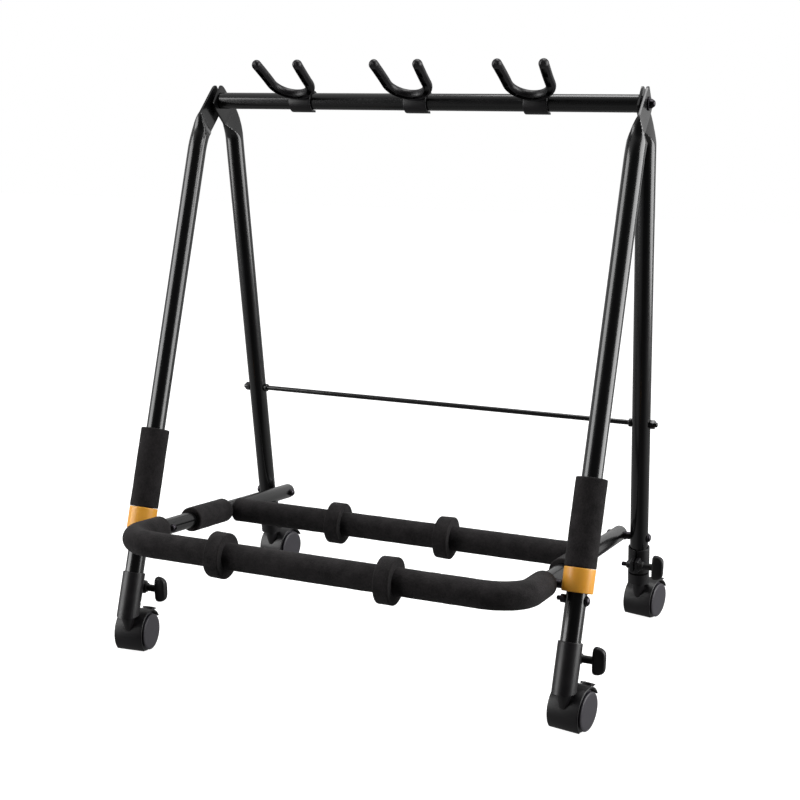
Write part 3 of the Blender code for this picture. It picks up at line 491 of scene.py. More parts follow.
def legStations(front):
    # (point, direction, half thickness, half width) from the foot, over the bend, to the square end
    up = legUp(front)
    sign = 1.0 if front else -1.0
    lean = rack["frontLean"] if front else rack["rearLean"]
    radius = legSizes["frontBend"] if front else legSizes["rearBend"]
    setback = rack["frontSetback"] if front else rack["rearSetback"]
    bend = rack["bladeLean"] - lean
    bladeUp = Vector((0.0, sign * math.sin(rack["bladeLean"]), math.cos(rack["bladeLean"])))
    corner = topPivot - bladeUp * (setback * math.cos(lean) / math.sin(bend))
    start = corner - up * (radius * math.tan(bend / 2.0))
    inward = Vector((0.0, sign * math.cos(lean), -math.sin(lean)))
    spots = [(legPoint(front, rack["legBottom"]), up)]
    lowest = 0.040
    for k in range(10):
        spots.append((start - up * (lowest * (1.0 - k / 10.0)), up))
    for k in range(legSizes["bendSteps"] + 1):
        angle = bend * k / legSizes["bendSteps"]
        point = start + up * (radius * math.sin(angle)) + inward * (radius * (1.0 - math.cos(angle)))
        spots.append((point, up * math.cos(angle) + inward * math.sin(angle)))
    bendEnd = spots[-1][0]
    past = (topPivot - bendEnd).dot(bladeUp)
    for along in (0.25, 0.5, 0.75, 1.0):
        spots.append((bendEnd + bladeUp * past * along, bladeUp))
    beyond = rack["bladeBeyond"]
    for share in (0.25, 0.45, 0.60, 0.72, 0.82, 0.90, 0.96, 1.0):
        spots.append((topPivot + bladeUp * beyond * share, bladeUp))
    flatStart = start + up * legSizes["flatFrom"][0 if front else 1]
    flatLength = (bendEnd - flatStart).length * legSizes["flatShare"][0 if front else 1]
    result = []
    for point, direction in spots:
        along = (point - flatStart).dot(up)
        share = min(1.0, max(0.0, along / flatLength))
        half = rack["legRadius"] + (rack["bladeHalf"] - rack["legRadius"]) * share
        eased = share * share * (3.0 - 2.0 * share)
        width = rack["legRadius"] + (rack["bladeHalfWidth"] - rack["legRadius"]) * eased
        over = (point - topPivot).dot(bladeUp) / beyond
        if over > 0.25:
            width = rack["bladeHalfWidth"] * (0.74 + 0.26 * math.sqrt(max(0.0,
                                                                          1.0 - ((over - 0.25) / 0.75) ** 2)))
        if over > 0.95:
            half = rack["bladeHalf"] * 0.82
        result.append((point, direction, half, width))
    return result


def makeLeg(front, name, sign):
    x = across * legX(front, sign)
    rows = []
    count = legSizes["around"]
    for point, direction, half, width in legStations(front):
        up = direction.cross(across)
        row = []
        for i in range(count):
            angle = 2.0 * math.pi * (i + 0.5) / count
            u = rack["legRadius"] * math.cos(angle)
            soft = half * (1.0 - 0.06 * abs(math.sin(angle)) ** 6)     # the press leaves a slight crown
            u = max(-soft, min(soft, u))
            row.append(point + x + across * u + up * (width * math.sin(angle)))
        rows.append(row)
    settle(cornerName(front, name) + " leg", skin(rows), enamel, frameBody(front),
           [cornerName(front, "leg_" + name)], 24.0)


boltSizes = {"washer": 0.0095}


def hexPrism(base, axis, across2, low, high, chamfer):
    # a hexagon nut or bolt head, chamfered at its outer end
    side, up = frameAbout(axis)
    rows = []
    for along, share in ((low, 1.0), (high - chamfer, 1.0), (high, 0.86)):
        row = []
        for i in range(36):
            angle = 2.0 * math.pi * i / 36.0
            sector = (angle + math.pi / 6.0) % (math.pi / 3.0) - math.pi / 6.0
            flat = across2 / 2.0 / math.cos(sector)
            radius = flat if share == 1.0 else min(flat, across2 / 2.0 * 1.02)
            row.append(base + axis * along + side * (radius * math.cos(angle))
                       + up * (radius * math.sin(angle)))
        rows.append(row)
    return skin(rows)


def makeTopBolt(name, sign):
    axis = across * sign
    face = rack["frontLegX"] + rack["bladeHalf"]
    inner = rack["rearLegX"] + rack["bladeHalf"]
    outer = rack["frontLegX"] - rack["bladeHalf"]
    washer = boltSizes["washer"]
    mesh = lathe([(0, inner - 0.020), (0.003, inner - 0.020), (0.003, inner + 0.0002),
                  (washer, inner + 0.0002, 0.0004),
                  (washer, outer - 0.0002, 0.0004), (0.003, outer - 0.0002), (0.003, face + 0.0002),
                  (0.0086, face + 0.0002, 0.0004), (0.0086, face + 0.0017, 0.0004), (0.0040, face + 0.0017),
                  (0.0040, face + 0.0020), (0, face + 0.0020)], topPivot, axis)
    mesh = combine(mesh, hexPrism(topPivot, axis, 0.0100, face + 0.0016, face + 0.0052, 0.0006), "UNION")
    dome = lathe([(0, face + 0.0040), (0.0047, face + 0.0040), (0.0047, face + 0.0056, 0.0012),
                  (0.0034, face + 0.0078, 0.0016), (0, face + 0.0084)], topPivot, axis)
    settle("top bolt " + name, combine(mesh, dome, "UNION"), blackSteel, "front_frame",
           ["top_bolt_" + name])


# Threads, repeated along a bolt by geometry nodes.

def makeThreadTree():
    tree = bpy.data.node_groups.new("thread ridges", "GeometryNodeTree")
    face = tree.interface
    face.new_socket("line", in_out="INPUT", socket_type="NodeSocketGeometry")
    for label, kind in (("ridge count", "NodeSocketInt"), ("bolt radius", "NodeSocketFloat"),
                        ("ridge size", "NodeSocketFloat"), ("finish", "NodeSocketMaterial")):
        face.new_socket(label, in_out="INPUT", socket_type=kind)
    face.new_socket("thread", in_out="OUTPUT", socket_type="NodeSocketGeometry")
    inputs = addNode(tree, "NodeGroupInput").outputs
    points = addNode(tree, "GeometryNodeCurveToPoints", {"mode": "COUNT"},
                     {"Curve": inputs["line"], "Count": inputs["ridge count"]})
    circle = addNode(tree, "GeometryNodeCurvePrimitiveCircle", {"Resolution": 24},
                     {"Radius": inputs["bolt radius"]})
    bead = addNode(tree, "GeometryNodeCurvePrimitiveCircle", {"Resolution": 4},
                   {"Radius": inputs["ridge size"]})
    ridge = addNode(tree, "GeometryNodeCurveToMesh", {},
                    {"Curve": circle.outputs["Curve"], "Profile Curve": bead.outputs["Curve"]})
    placed = addNode(tree, "GeometryNodeInstanceOnPoints", {}, {
        "Points": points.outputs["Points"], "Instance": ridge.outputs["Mesh"],
        "Rotation": points.outputs["Rotation"]})
    real = addNode(tree, "GeometryNodeRealizeInstances", {}, {"Geometry": placed.outputs[0]})
    finish = addNode(tree, "GeometryNodeSetMaterial", {},
                     {"Geometry": real.outputs[0], "Material": inputs["finish"]})
    addNode(tree, "NodeGroupOutput", {}, {"thread": finish.outputs[0]})
    return tree


threadTree = makeThreadTree()


def threadRidges(name, start, end, radius, body):
    # ridges a millimetre apart; a real M6 thread's pitch
    line = bpy.data.curves.new(name, "CURVE")
    line.dimensions = "3D"
    spline = line.splines.new("POLY")
    spline.points.add(1)
    spline.points[0].co = (*start, 1.0)
    spline.points[1].co = (*end, 1.0)
    carrier = bpy.data.objects.new(name, line)
    bpy.context.scene.collection.objects.link(carrier)
    count = max(2, int(round((end - start).length / 0.001)) + 1)
    data = runTree(carrier, threadTree, {"ridge count": count, "bolt radius": radius, "ridge size": 0.00042,
                                         "finish": blackSteel})
    data.name = name
    data.shade_smooth()
    piece = bpy.data.objects.new(name.replace(" ", "-"), data)
    bpy.context.scene.collection.objects.link(piece)
    return finishPiece(piece, body, [])


def makeRod():
    # thin rod between the rear legs, a nut and a rounded end outside each leg
    centre = legPoint(False, 0.3031)
    nut = rack["rearLegX"] + rack["legRadius"] + 0.0003
    stop = rack["rearLegX"] - rack["legRadius"] - 0.0003
    mesh = straightTube("rod", centre - across * (nut + 0.0100), centre + across * (nut + 0.0100), 0.0035,
                        0.0012, enamel, 24)
    for sign in (-1.0, 1.0):
        axis = across * sign
        mesh = combine(mesh, hexPrism(centre, axis, 0.0112, nut, nut + 0.0062, 0.0008), "UNION")
        mesh = combine(mesh, lathe([(0.002, stop - 0.004), (0.0058, stop - 0.004, 0.0006), (0.0058, stop,
                                                                                            0.0004),
                                    (0.002, stop)], centre, axis, 32, True), "UNION")
    settle("stabilizer rod", mesh, enamel, "rear_frame", ["stabilizer_rod"])


def makeStopBolt(name, sign):
    centre = legPoint(True, 0.1620, legX(True, sign))
    axis = across * sign
    face = rack["legRadius"]
    mesh = lathe([(0, -face - 0.0110), (0.0021, -face - 0.0110, 0.0006), (0.0027, -face - 0.0098),
                  (0.0027, face + 0.001),
                  (0.0066, face, 0.0002), (0.0066, face + 0.0008, 0.0002), (0.0056, face + 0.0008),
                  (0.0056, face + 0.0022, 0.0012), (0.0030, face + 0.0042, 0.0012), (0, face + 0.0046)],
                  centre, axis)
    mesh = combine(mesh, hexPrism(centre, -axis, 0.0098, face, face + 0.0060, 0.0008), "UNION")
    settle("stop bolt " + name, mesh, blackSteel, "front_frame", ["stop_bolt_" + name])
    threadRidges("stop bolt thread " + name, centre - axis * (face + 0.0066),
                 centre - axis * (face + 0.0098), 0.0027, "front_frame")


makeTopBar()
for legFront, legSide, legSign in corners:
    makeLeg(legFront, legSide, legSign)
for boltSide, boltSign in sides:
    makeTopBolt(boltSide, boltSign)
    makeStopBolt(boltSide, boltSign)
makeRod()
print("bar, legs and bolts made")


# Lower rest.

rest = {"tubeRadius": 0.0111, "armX": 0.2676, "reach": 0.109, "cornerRadius": 0.048, "tail": 0.010,
        "crossFrom": 0.182,
        "foamRadius": 0.0171, "foamEdge": 0.0022, "foamGap": 0.0135, "cornerSteps": 26}


def restSpot(x, ahead):
    return rearPivot + restAlong * ahead + across * x


def restLine(start, end, armSteps, frontSteps):
    # the U's centre line from the left arm's start to the right arm's start, as (point, direction)
    corner = rest["cornerRadius"]
    turnStart = restSpan + rest["reach"] - corner
    innerX = rest["armX"] - corner
    line = [(restSpot(-rest["armX"], start + (turnStart - start) * k / armSteps),
             restAlong) for k in range(armSteps)]
    for sign in (-1.0, 1.0):
        for k in range(rest["cornerSteps"] + 1):
            share = k / rest["cornerSteps"]
            angle = math.pi / 2.0 * (share if sign < 0 else 1.0 - share)
            spot = restSpot(sign * (innerX + corner * math.cos(angle)),
                            turnStart + corner * math.sin(angle))
            line.append((spot, restAlong * (-sign * math.cos(angle)) + across * math.sin(angle)))
        if sign < 0:
            front = turnStart + corner
            line += [(restSpot(-innerX + 2.0 * innerX * k / frontSteps, front), across)
                     for k in range(1, frontSteps)]
    line += [(restSpot(rest["armX"], turnStart + (end - turnStart) * k / armSteps),
              -restAlong) for k in range(1, armSteps + 1)]
    return line


def makeRestTube():
    dome = 0.0068
    line = restLine(-rest["tail"], -rest["tail"], 4, 6)
    points = [point for point, direction in line]
    caps = [dome * math.sin(math.pi / 2.0 * k / 7.0) for k in range(1, 8)]
    start = [points[0] - restAlong * spot for spot in reversed(caps)]
    end = [points[-1] - restAlong * spot for spot in caps]
    mesh = tubeMesh("rest tube", start + points + end, rest["tubeRadius"], dome, 48, enamel)
    for sign in (-1.0, 1.0):      # weld beads round the ends of the cross tube
        centre = restSpot(sign * (rest["armX"] - rest["tubeRadius"] * 0.93), rest["crossFrom"])
        bead = lathe([(0.0098, -0.0016, 0.001), (0.0124, -0.0016, 0.001), (0.0124, 0.0016, 0.001),
                      (0.0098, 0.0016, 0.001)],
                     centre, across, 48, True)
        mesh = combine(mesh, bead, "UNION")
    settle("rest tube", mesh, enamel, "rest_frame", ["rest_tube"])
    half = rest["armX"] - rest["tubeRadius"] * 0.8
    cross = straightTube("cross tube", restSpot(-half, rest["crossFrom"]),
                         restSpot(half, rest["crossFrom"]),
                         rest["tubeRadius"] - 0.0001, 0.0005, enamel)
    settle("cross tube", cross, enamel, "rest_frame", ["cross_tube"])


def spokes(direction):
    side = restUp if abs(direction.dot(restUp)) < 0.5 else across
    side = (side - direction * side.dot(direction)).normalized()
    return side, direction.cross(side)


def foamSkin(line, outer, inner, edge, wrinkle=None):
    # a sleeve round a centre line: soft edges, a skin that waves by a few tenths of a millimetre
    count = 56
    rows = []
    distances = [0.0]
    for (first, a), (second, b) in zip(line, line[1:]):
        distances.append(distances[-1] + (second - first).length)
    whole = distances[-1]
    for (point, direction), spot in zip(line, distances):
        side, up = spokes(direction)
        near = min(spot, whole - spot)
        share = min(1.0, near / edge)
        radius = outer - edge * (1.0 - math.sqrt(max(0.0, 1.0 - (1.0 - share) ** 2)))
        row = []
        for i in range(count):
            angle = 2.0 * math.pi * (i + 0.5) / count
            spoke = side * math.cos(angle) + up * math.sin(angle)
            skinPoint = point + spoke * radius
            wave = noise.noise(skinPoint * 70.0) * 0.00022 + noise.noise(skinPoint * 260.0) * 0.00010
            if wrinkle:
                wave += wrinkle(point, spoke, spot)
            row.append(skinPoint + spoke * wave)
        rows.append(row)
    # the bore follows the line back, so that the sleeve is one closed skin
    bore = [ringPoints(point, *spokes(direction), inner, inner, count) for point,
            direction in reversed(line)]
    return skin(rows + bore, True)


def straightLine(start, end, edge, spacing=0.004):
    length = (end - start).length
    axis = (end - start).normalized()
    return [(start + axis * spot, axis) for spot in endSpacing(length, edge, max(3, int(length / spacing)))]


def padPiece(name, mesh, body, nodes):
    piece = settle(name, mesh, foam, body, nodes, 50.0)
    return piece


def makeRestFoam():
    edge = rest["foamEdge"]
    start = restSpan + rest["foamGap"]
    line = restLine(start, start, 8, 90)
    ends = [edge * (1.0 - math.cos(math.pi / 2.0 * k / 6.0)) for k in range(7)]
    left = [(restSpot(-rest["armX"], start + spot), restAlong) for spot in ends]
    right = [(restSpot(rest["armX"], start + spot), -restAlong) for spot in reversed(ends)]
    middle = [entry for entry in line if (entry[0] - rearPivot).dot(restAlong) > start + edge * 1.3]
    turnStart = restSpan + rest["reach"] - rest["cornerRadius"]

    def bunch(point, spoke, spot):
        # the foam bunches into small folds on the inside of each bend
        rel = point - rearPivot
        ahead = rel.dot(restAlong) - turnStart
        cornerX = rest["armX"] - rest["cornerRadius"]
        if ahead < 0.0 or abs(rel.x) < cornerX:
            return 0.0
        inwards = (across * -math.copysign(1.0, rel.x) - restAlong).normalized()
        share = max(0.0, spoke.dot(inwards)) ** 2
        return share * 0.0006 * math.sin(spot / 0.0085 * 2.0 * math.pi)

    mesh = foamSkin(left + middle + right, rest["foamRadius"], rest["tubeRadius"] + 0.0002, edge, bunch)
    padPiece("front foam", mesh, "rest_frame", ["front_foam"])
    half = rest["armX"] - rest["tubeRadius"] - 0.002
    line = straightLine(restSpot(-half, rest["crossFrom"]), restSpot(half, rest["crossFrom"]), edge)
    mesh = foamSkin(line, rest["foamRadius"], rest["tubeRadius"] + 0.0002, edge)
    padPiece("cross foam", mesh, "rest_frame", ["cross_foam"])
    low = rest["crossFrom"] + rest["foamRadius"] + 0.001
    high = restSpan - rest["foamGap"] - 0.052
    for name, sign in sides:
        line = straightLine(restSpot(sign * rest["armX"], low), restSpot(sign * rest["armX"], high), edge)
        mesh = foamSkin(line, rest["foamRadius"], rest["tubeRadius"] + 0.0002, edge)
        padPiece("side foam " + name, mesh, "rest_frame", ["side_foam_" + name])


ringSizes = {"radius": 0.0295, "width": 0.0200, "bore": 0.0173, "edge": 0.0032}


def makeDividerRings():
    for bar in ("front", "rear"):
        for name, sign in sides:
            node = "divider_ring_" + bar + "_" + name
            low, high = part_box(node)
            centre = (low + high) / 2.0
            half = ringSizes["width"] / 2.0
            edge = ringSizes["edge"]
            radius = ringSizes["radius"]
            profile = [(ringSizes["bore"], -half), (radius - 0.004, -half), (radius, -half, edge),
                       (radius, half, edge),
                       (radius - 0.004, half), (ringSizes["bore"], half)]
            mesh = lathe(profile, centre, across, 72, True, 5)
            bmesh.ops.subdivide_edges(mesh, edges=[e for e in mesh.edges if e.calc_length() > 0.006],
                                      cuts=3, use_grid_fill=True)
            for vertex in mesh.verts:      # foam cut by hand is never quite round
                spoke = vertex.co - centre
                spoke.x = 0.0
                if spoke.length > ringSizes["bore"] + 0.001:
                    wave = noise.noise(vertex.co * 38.0) * 0.0009 + noise.noise(vertex.co * 210.0) * 0.00015
                    vertex.co += spoke.normalized() * (wave - 0.0004)
                    vertex.co.x += noise.noise(vertex.co * 60.0 + Vector((9.0, 0.0, 0.0))) * 0.0004
            padPiece("divider ring " + bar + " " + name, mesh, "divider_" + bar + "_" + name, [node])


def makePivotBolts():
    tube = rest["tubeRadius"]
    for name, sign in sides:
        axis = across * sign
        for front in (True, False):
            point = (frontPivot if front else rearPivot) + across * (sign * rest["armX"])
            gap = legX(front, sign) * sign - rest["armX"]
            reach = gap - (0.0199 if front else rack["legRadius"] + 0.0003)
            profile = [(0, -tube - 0.0050), (0.0030, -tube - 0.0049, 0.0008),
                       (0.0054, -tube - 0.0030, 0.0014),
                       (0.0058, -tube - 0.0006, 0.0004), (0.0058, -tube + 0.0008), (0.003, -tube + 0.0008),
                       (0.003, tube - 0.0006), (0.0066, tube - 0.0006), (0.0066, tube + 0.0008, 0.0003),
                       (0.0054, tube + 0.0008, 0.0003), (0.0054, reach, 0.0004)]
            if front:
                profile += [(0, reach)]
            else:
                head = gap + rack["legRadius"]
                profile += [(0.003, reach), (0.003, head - 0.001), (0.0066, head - 0.001, 0.0003),
                            (0.0066, head + 0.0006, 0.0003),
                            (0.0058, head + 0.0006, 0.0004), (0.0055, head + 0.0026, 0.0012),
                            (0.0030, head + 0.0040, 0.0010),
                            (0, head + 0.0042)]
            mesh = lathe(profile, point, axis, 40)
            socket = hexPrism(point, -axis, 0.0034, tube + 0.0026, tube + 0.0070, 0.0002)
            mesh = combine(mesh, socket, "DIFFERENCE")
            part = "front" if front else "rear"
            settle(part + " pivot bolt " + name, mesh, blackSteel, "rest_frame",
                   [part + "_pivot_bolt_" + name])


makeRestTube()
makeRestFoam()
makeDividerRings()
makePivotBolts()
print("lower rest made")


# Grips on the front legs.

grip = {"collarLow": 0.1705, "foamLow": 0.1985, "foamHigh": 0.3005, "foamRadius": 0.0194,
        "collarRadius": 0.0192}


def makeGrips():
    up = legUp(True)
    scale = 1.0 / math.cos(rack["frontLean"])
    for name, sign in sides:
        x = legX(True, sign)
        body = "grip_" + name
        base = legPoint(True, grip["collarLow"], x)
        length = (grip["foamLow"] - grip["collarLow"]) * scale
        radius = grip["collarRadius"]
        bore = rack["legRadius"] + 0.0004
        mesh = lathe([(bore, 0, 0.0004), (radius - 0.0003, 0, 0.0010), (radius, 0.0016),
                      (radius, length - 0.0012, 0.0004),
                      (radius - 0.0004, length, 0.0004), (bore, length, 0.0004)], base, up, 96, True)
        settle("yellow collar " + name, mesh, yellow, body, ["grip_collar_" + name])
        low = legPoint(True, grip["foamLow"] + 0.0003, x)
        high = legPoint(True, grip["foamHigh"], x)
        line = straightLine(low, high, 0.0016, 0.003)
        mesh = foamSkin(line, grip["foamRadius"], bore, 0.0016)
        padPiece("foam grip " + name, mesh, body, ["grip_foam_" + name])


makeGrips()
print("grips made")


# Caster sockets and wing screws.

socket = {"bottom": 0.0595, "top": 0.1160, "radius": 0.0151, "slit": 0.0026, "lugReach": 0.0150,
          "lugThick": 0.0052,
          "lugHeight": 0.0180, "screwHeight": 0.0970, "slotHeight": 0.0775, "slotTall": 0.0026}


def makeSocket(front, name, sign):
    up = legUp(front)
    x = legX(front, sign)
    inward = across.cross(up) * (-1.0 if front else 1.0)
    lean = -rack["frontLean"] if front else rack["rearLean"]
    scale = 1.0 / math.cos(lean)
    below = 0.020
    base = legPoint(front, socket["bottom"] - below, x)
    top = (socket["top"] - socket["bottom"]) * scale + below
    floor = (rack["legBottom"] - socket["bottom"]) * scale + below - 0.0003
    radius = socket["radius"]
    bore = rack["legRadius"] + 0.0002
    mesh = lathe([(0, 0), (radius, 0), (radius, top, 0.0009), (bore, top, 0.0006), (bore, floor),
                  (0, floor)], base, up, 96)
    trim = softBlock(Vector((base.x, base.y, origin.z + socket["bottom"] - 0.05)), (0.1, 0.1, 0.1), 0.0,
                     0.0)
    mesh = combine(mesh, trim, "DIFFERENCE")
    axisPoint = legPoint(front, socket["screwHeight"], x)
    lugEnd = radius + socket["lugReach"]
    size = (socket["slit"] + 2.0 * socket["lugThick"], lugEnd - bore - 0.0006, socket["lugHeight"])
    lug = softBlock(axisPoint + inward * ((lugEnd + bore) / 2.0), size, lean, 0.0022)
    mesh = combine(mesh, lug, "UNION")
    slitLow = (socket["screwHeight"] - socket["slotHeight"]) * scale
    length = 0.080
    middle = axisPoint + inward * (radius + socket["lugReach"] / 2.0) + up * (length / 2.0 - slitLow)
    mesh = combine(mesh, softBlock(middle, (socket["slit"], socket["lugReach"] + 0.011, length), lean,
                                   0.0), "DIFFERENCE")
    slotPoint = legPoint(front, socket["slotHeight"], x)
    wide = softBlock(slotPoint + inward * (radius * 0.28 + 0.012), (0.05, 0.024, socket["slotTall"]), lean,
                     0.0)
    mesh = combine(mesh, wide, "DIFFERENCE")      # relief slot that lets the clamp flex
    screw = axisPoint + inward * 0.0225
    mesh = combine(mesh, rodBetween(screw - across * 0.02, screw + across * 0.02, 0.0032), "DIFFERENCE")
    corner = cornerName(front, name)
    settle("socket " + corner, mesh, moulded, "clamp_" + corner, ["socket_" + corner], 28.0)


wing = {"tip": 0.0190, "start": 0.0245, "depth": 0.0155, "halfHeight": 0.018, "halfThick": 0.006}


def makeWingScrew(front, name):
    corner = cornerName(front, name)
    centre = Vector(joints["clamp_turn_" + corner]["pos_m"])
    half, thick, start, depth = wing["halfHeight"], wing["halfThick"], wing["start"], wing["depth"]
    body = lathe([(0, -wing["tip"]), (0.0022, -wing["tip"], 0.0004), (0.0028, -wing["tip"] + 0.001),
                  (0.0028, 0.0066),
                  (0.0078, 0.0068, 0.0003), (0.0078, 0.0080, 0.0003), (0.0066, 0.0080),
                  (0.0066, 0.0110, 0.0010),
                  (0.0048, 0.0122, 0.0006), (0.0048, start + 0.002), (0, start + 0.002)], centre, across)
    rows = []
    sections = [(start, 0.80, 0.72), (start + 0.0006, 0.90, 0.90), (start + 0.0018, 0.96, 1.0),
                (start + 0.0035, 1.0, 1.0),
                (start + depth * 0.45, 0.985, 1.0), (start + depth * 0.66, 0.93, 1.0),
                (start + depth * 0.80, 0.86, 0.97),
                (start + depth * 0.92, 0.76, 0.90), (start + depth * 0.98, 0.66, 0.78),
                (start + depth, 0.56, 0.60)]
    for along, tall, wide in sections:
        rows.append(ringPoints(centre + across * along, back, upright, thick * wide, half * tall, 48, 3.2))
    knob = combine(body, skin(rows), "UNION")
    dimple = lathe([(0, start + depth - 0.0008), (0.0030, start + depth - 0.0008, 0.0006),
                    (0.0036, start + depth + 0.002),
                    (0, start + depth + 0.002)], centre, across)
    knob = combine(knob, dimple, "DIFFERENCE")
    nut = hexPrism(centre, -across, 0.0100, 0.0066, 0.0115, 0.0008)
    knob = combine(knob, nut, "UNION")
    settle("wing screw " + corner, knob, moulded, "screw_" + corner, ["wing_screw_" + corner], 38.0)
    threadRidges("wing screw thread " + corner, centre - across * 0.0125, centre - across * 0.0180, 0.0028,
                 "screw_" + corner)


for socketFront, socketSide, socketSign in corners:
    makeSocket(socketFront, socketSide, socketSign)
    makeWingScrew(socketFront, socketSide)
print("sockets and wing screws made")


# Casters, drawn once about the stem and set down at each corner.

caster = {"wheelRadius": 0.0275, "halfWidth": 0.0225, "trail": 0.0265, "hoodInner": 0.0285,
          "hoodOuter": 0.0307,
          "hoodHalf": 0.0205, "web": 0.0035, "frontAngle": -42.0, "rearAngle": 150.0, "hoodSteps": 56,
          "bossLength": 0.023, "bossTop": 0.0595, "lugX": 0.0095}


def aroundAxle(angle, radius, x=0.0):
    axle = Vector((0.0, caster["trail"], caster["wheelRadius"]))
    return axle + Vector((x, -radius * math.cos(angle), radius * math.sin(angle)))


def hoodMesh():
    half, outer, inner, web = caster["hoodHalf"], caster["hoodOuter"], caster["hoodInner"], caster["web"]
    section = rounded([(-half, outer, 0.0016), (half, outer, 0.0016), (half, inner, 0.0007),
                       (web, inner, 0.0008),
                       (web, 0.0085), (-web, 0.0085), (-web, inner, 0.0008), (-half, inner, 0.0007)], True,
                       3)
    low, high = math.radians(caster["frontAngle"]), math.radians(caster["rearAngle"])
    rows = []
    for k in range(caster["hoodSteps"] + 1):
        angle = low + (high - low) * k / caster["hoodSteps"]
        rows.append([aroundAxle(angle, radius, x) for x, radius in section])
    mesh = skin(rows)
    axle = aroundAxle(0.0, 0.0)
    mesh = combine(mesh, lathe([(0.0032, -0.0041), (0.0095, -0.0041, 0.0005), (0.0095, 0.0041, 0.0005),
                                (0.0032, 0.0041)],
                               axle, across, 48, True), "UNION")
    mesh = combine(mesh, rodBetween(axle - across * 0.01, axle + across * 0.01, 0.0034), "DIFFERENCE")
    lugRows = []
    for step in range(13):      # raised lug that the brake tab pivots on
        angle = math.radians(88.0 + 31.0 * step / 12.0)
        height = outer + 0.0004 * min(1.0, step / 3.0)
        lugRows.append([aroundAxle(angle, radius, caster["lugX"] + x) for x, radius in
                        ((-0.006, outer - 0.001), (0.006, outer - 0.001), (0.006, height),
                         (-0.006, height))])
    mesh = combine(mesh, skin(lugRows), "UNION")
    top = caster["bossTop"] - 0.0004
    low = top - caster["bossLength"]
    boss = lathe([(0, low), (0.0040, low + 0.0004, 0.0022), (0.0062, low + 0.0075, 0.004),
                  (0.0092, top - 0.0035, 0.0008),
                  (0.0092, top, 0.0006), (0.0055, top), (0.0055, top + 0.011, 0.0012), (0, top + 0.011)],
                 Vector((0.0, 0.0, 0.0)), upright, 64)
    for sign in (-1.0, 1.0):
        pocket = rodBetween(axle + across * (sign * web), axle + across * (sign * 0.04), inner + 0.0003, 96)
        boss = combine(boss, pocket, "DIFFERENCE")
    return combine(mesh, boss, "UNION")


def wheelMesh(sign):
    inside, face, radius = 0.0047, caster["halfWidth"], caster["wheelRadius"]
    cover = radius - 0.0027
    profile = [(0, inside + 0.0150), (0.0033, inside + 0.0150), (0.0033, inside, 0.0004),
               (0.0085, inside, 0.0006),
               (0.0085, inside + 0.0060, 0.0010), (radius - 0.0050, inside + 0.0060, 0.0010),
               (radius - 0.0050, inside, 0.0005),
               (radius - 0.0006, inside, 0.0012), (radius, inside + 0.0040, 0.004),
               (radius, face - 0.0070, 0.0020),
               (cover - 0.0006, face - 0.0056, 0.0006), (cover - 0.0006, face - 0.0040, 0.0004),
               (cover, face - 0.0032, 0.0004),
               (cover, face - 0.0008, 0.0012), (cover - 0.0030, face - 0.0001, 0.0010), (0.012, face),
               (0, face)]
    return lathe(profile, aroundAxle(0.0, 0.0), across * sign, 96)


brake = {"angle": 116.0, "length": 0.015, "width": 0.014, "offset": 0.0095, "thick": 0.003, "gap": 0.0005,
         "skirt": 0.0005}


def brakeMesh():
    hinge = aroundAxle(math.radians(brake["angle"]),
                       caster["hoodOuter"] + brake["gap"] + brake["thick"] / 2.0, brake["offset"])
    slope = math.pi / 2.0 - math.radians(brake["angle"])
    along = Vector((0.0, math.cos(slope), math.sin(slope)))
    lift = Vector((0.0, -math.sin(slope), math.cos(slope)))
    half = brake["thick"] / 2.0
    length, drop = brake["length"], brake["skirt"]
    outline = rounded([(-half, -half, 0.0006), (length * 0.35, -half, 0.002),
                       (length * 0.66, -half - drop, 0.0008),
                       (length * 0.76, -half * 0.3, 0.0010), (length, 0.0, 0.0006),
                       (length + 0.0008, half * 1.2, 0.0006),
                       (length * 0.7, half * 0.9, 0.002), (-half, half, 0.0010)], True, 3)
    rows = []
    for x, share in ((-brake["width"] / 2.0, 0.86), (-brake["width"] / 2.0 + 0.0008, 1.0),
                     (brake["width"] / 2.0 - 0.0008, 1.0), (brake["width"] / 2.0, 0.86)):
        rows.append([hinge + along * (u * share + 0.001 * (1.0 - share)) + lift * (v * share) + across * x
                     for u, v in outline])
    mesh = skin(rows)
    for k in range(4):      # grip ridges across the tab
        spot = hinge + along * (0.005 + 0.0024 * k) + lift * (half * 0.95)
        mesh = combine(mesh, softBlock(spot, (brake["width"] - 0.004, 0.0009, 0.0009), slope, 0.0003),
                       "UNION")
    return mesh


def setDownCasters():
    hood = hoodMesh()
    wheels = {"a": wheelMesh(-1.0), "b": wheelMesh(1.0)}
    tab = brakeMesh()
    for front, name, sign in corners:
        corner = cornerName(front, name)
        stem = Vector(joints["swivel_" + corner]["pos_m"])
        axis = Vector(joints["roll_" + corner]["axis"])
        turn = math.atan2(axis.y, axis.x)
        place = Matrix.Translation((stem.x, stem.y, origin.z)) @ Matrix.Rotation(turn, 4, "Z")
        settle("caster hood " + corner, moved(hood, place), moulded, "caster_" + corner,
               ["caster_hood_" + corner], 34.0)
        settle("brake tab " + corner, moved(tab, place), moulded, "brake_" + corner,
               ["brake_tab_" + corner], 34.0)
        for mark, mesh in wheels.items():
            node = "wheel_" + corner + "_" + mark
            settle(node.replace("_", " "), moved(mesh, place), wheelPlastic, "wheels_" + corner, [node],
                   30.0)
        frame["nodes"]["axle_" + corner].data.materials.clear()
        frame["nodes"]["axle_" + corner].data.materials.append(blackSteel)


setDownCasters()
print("casters made")


# Neck yokes.

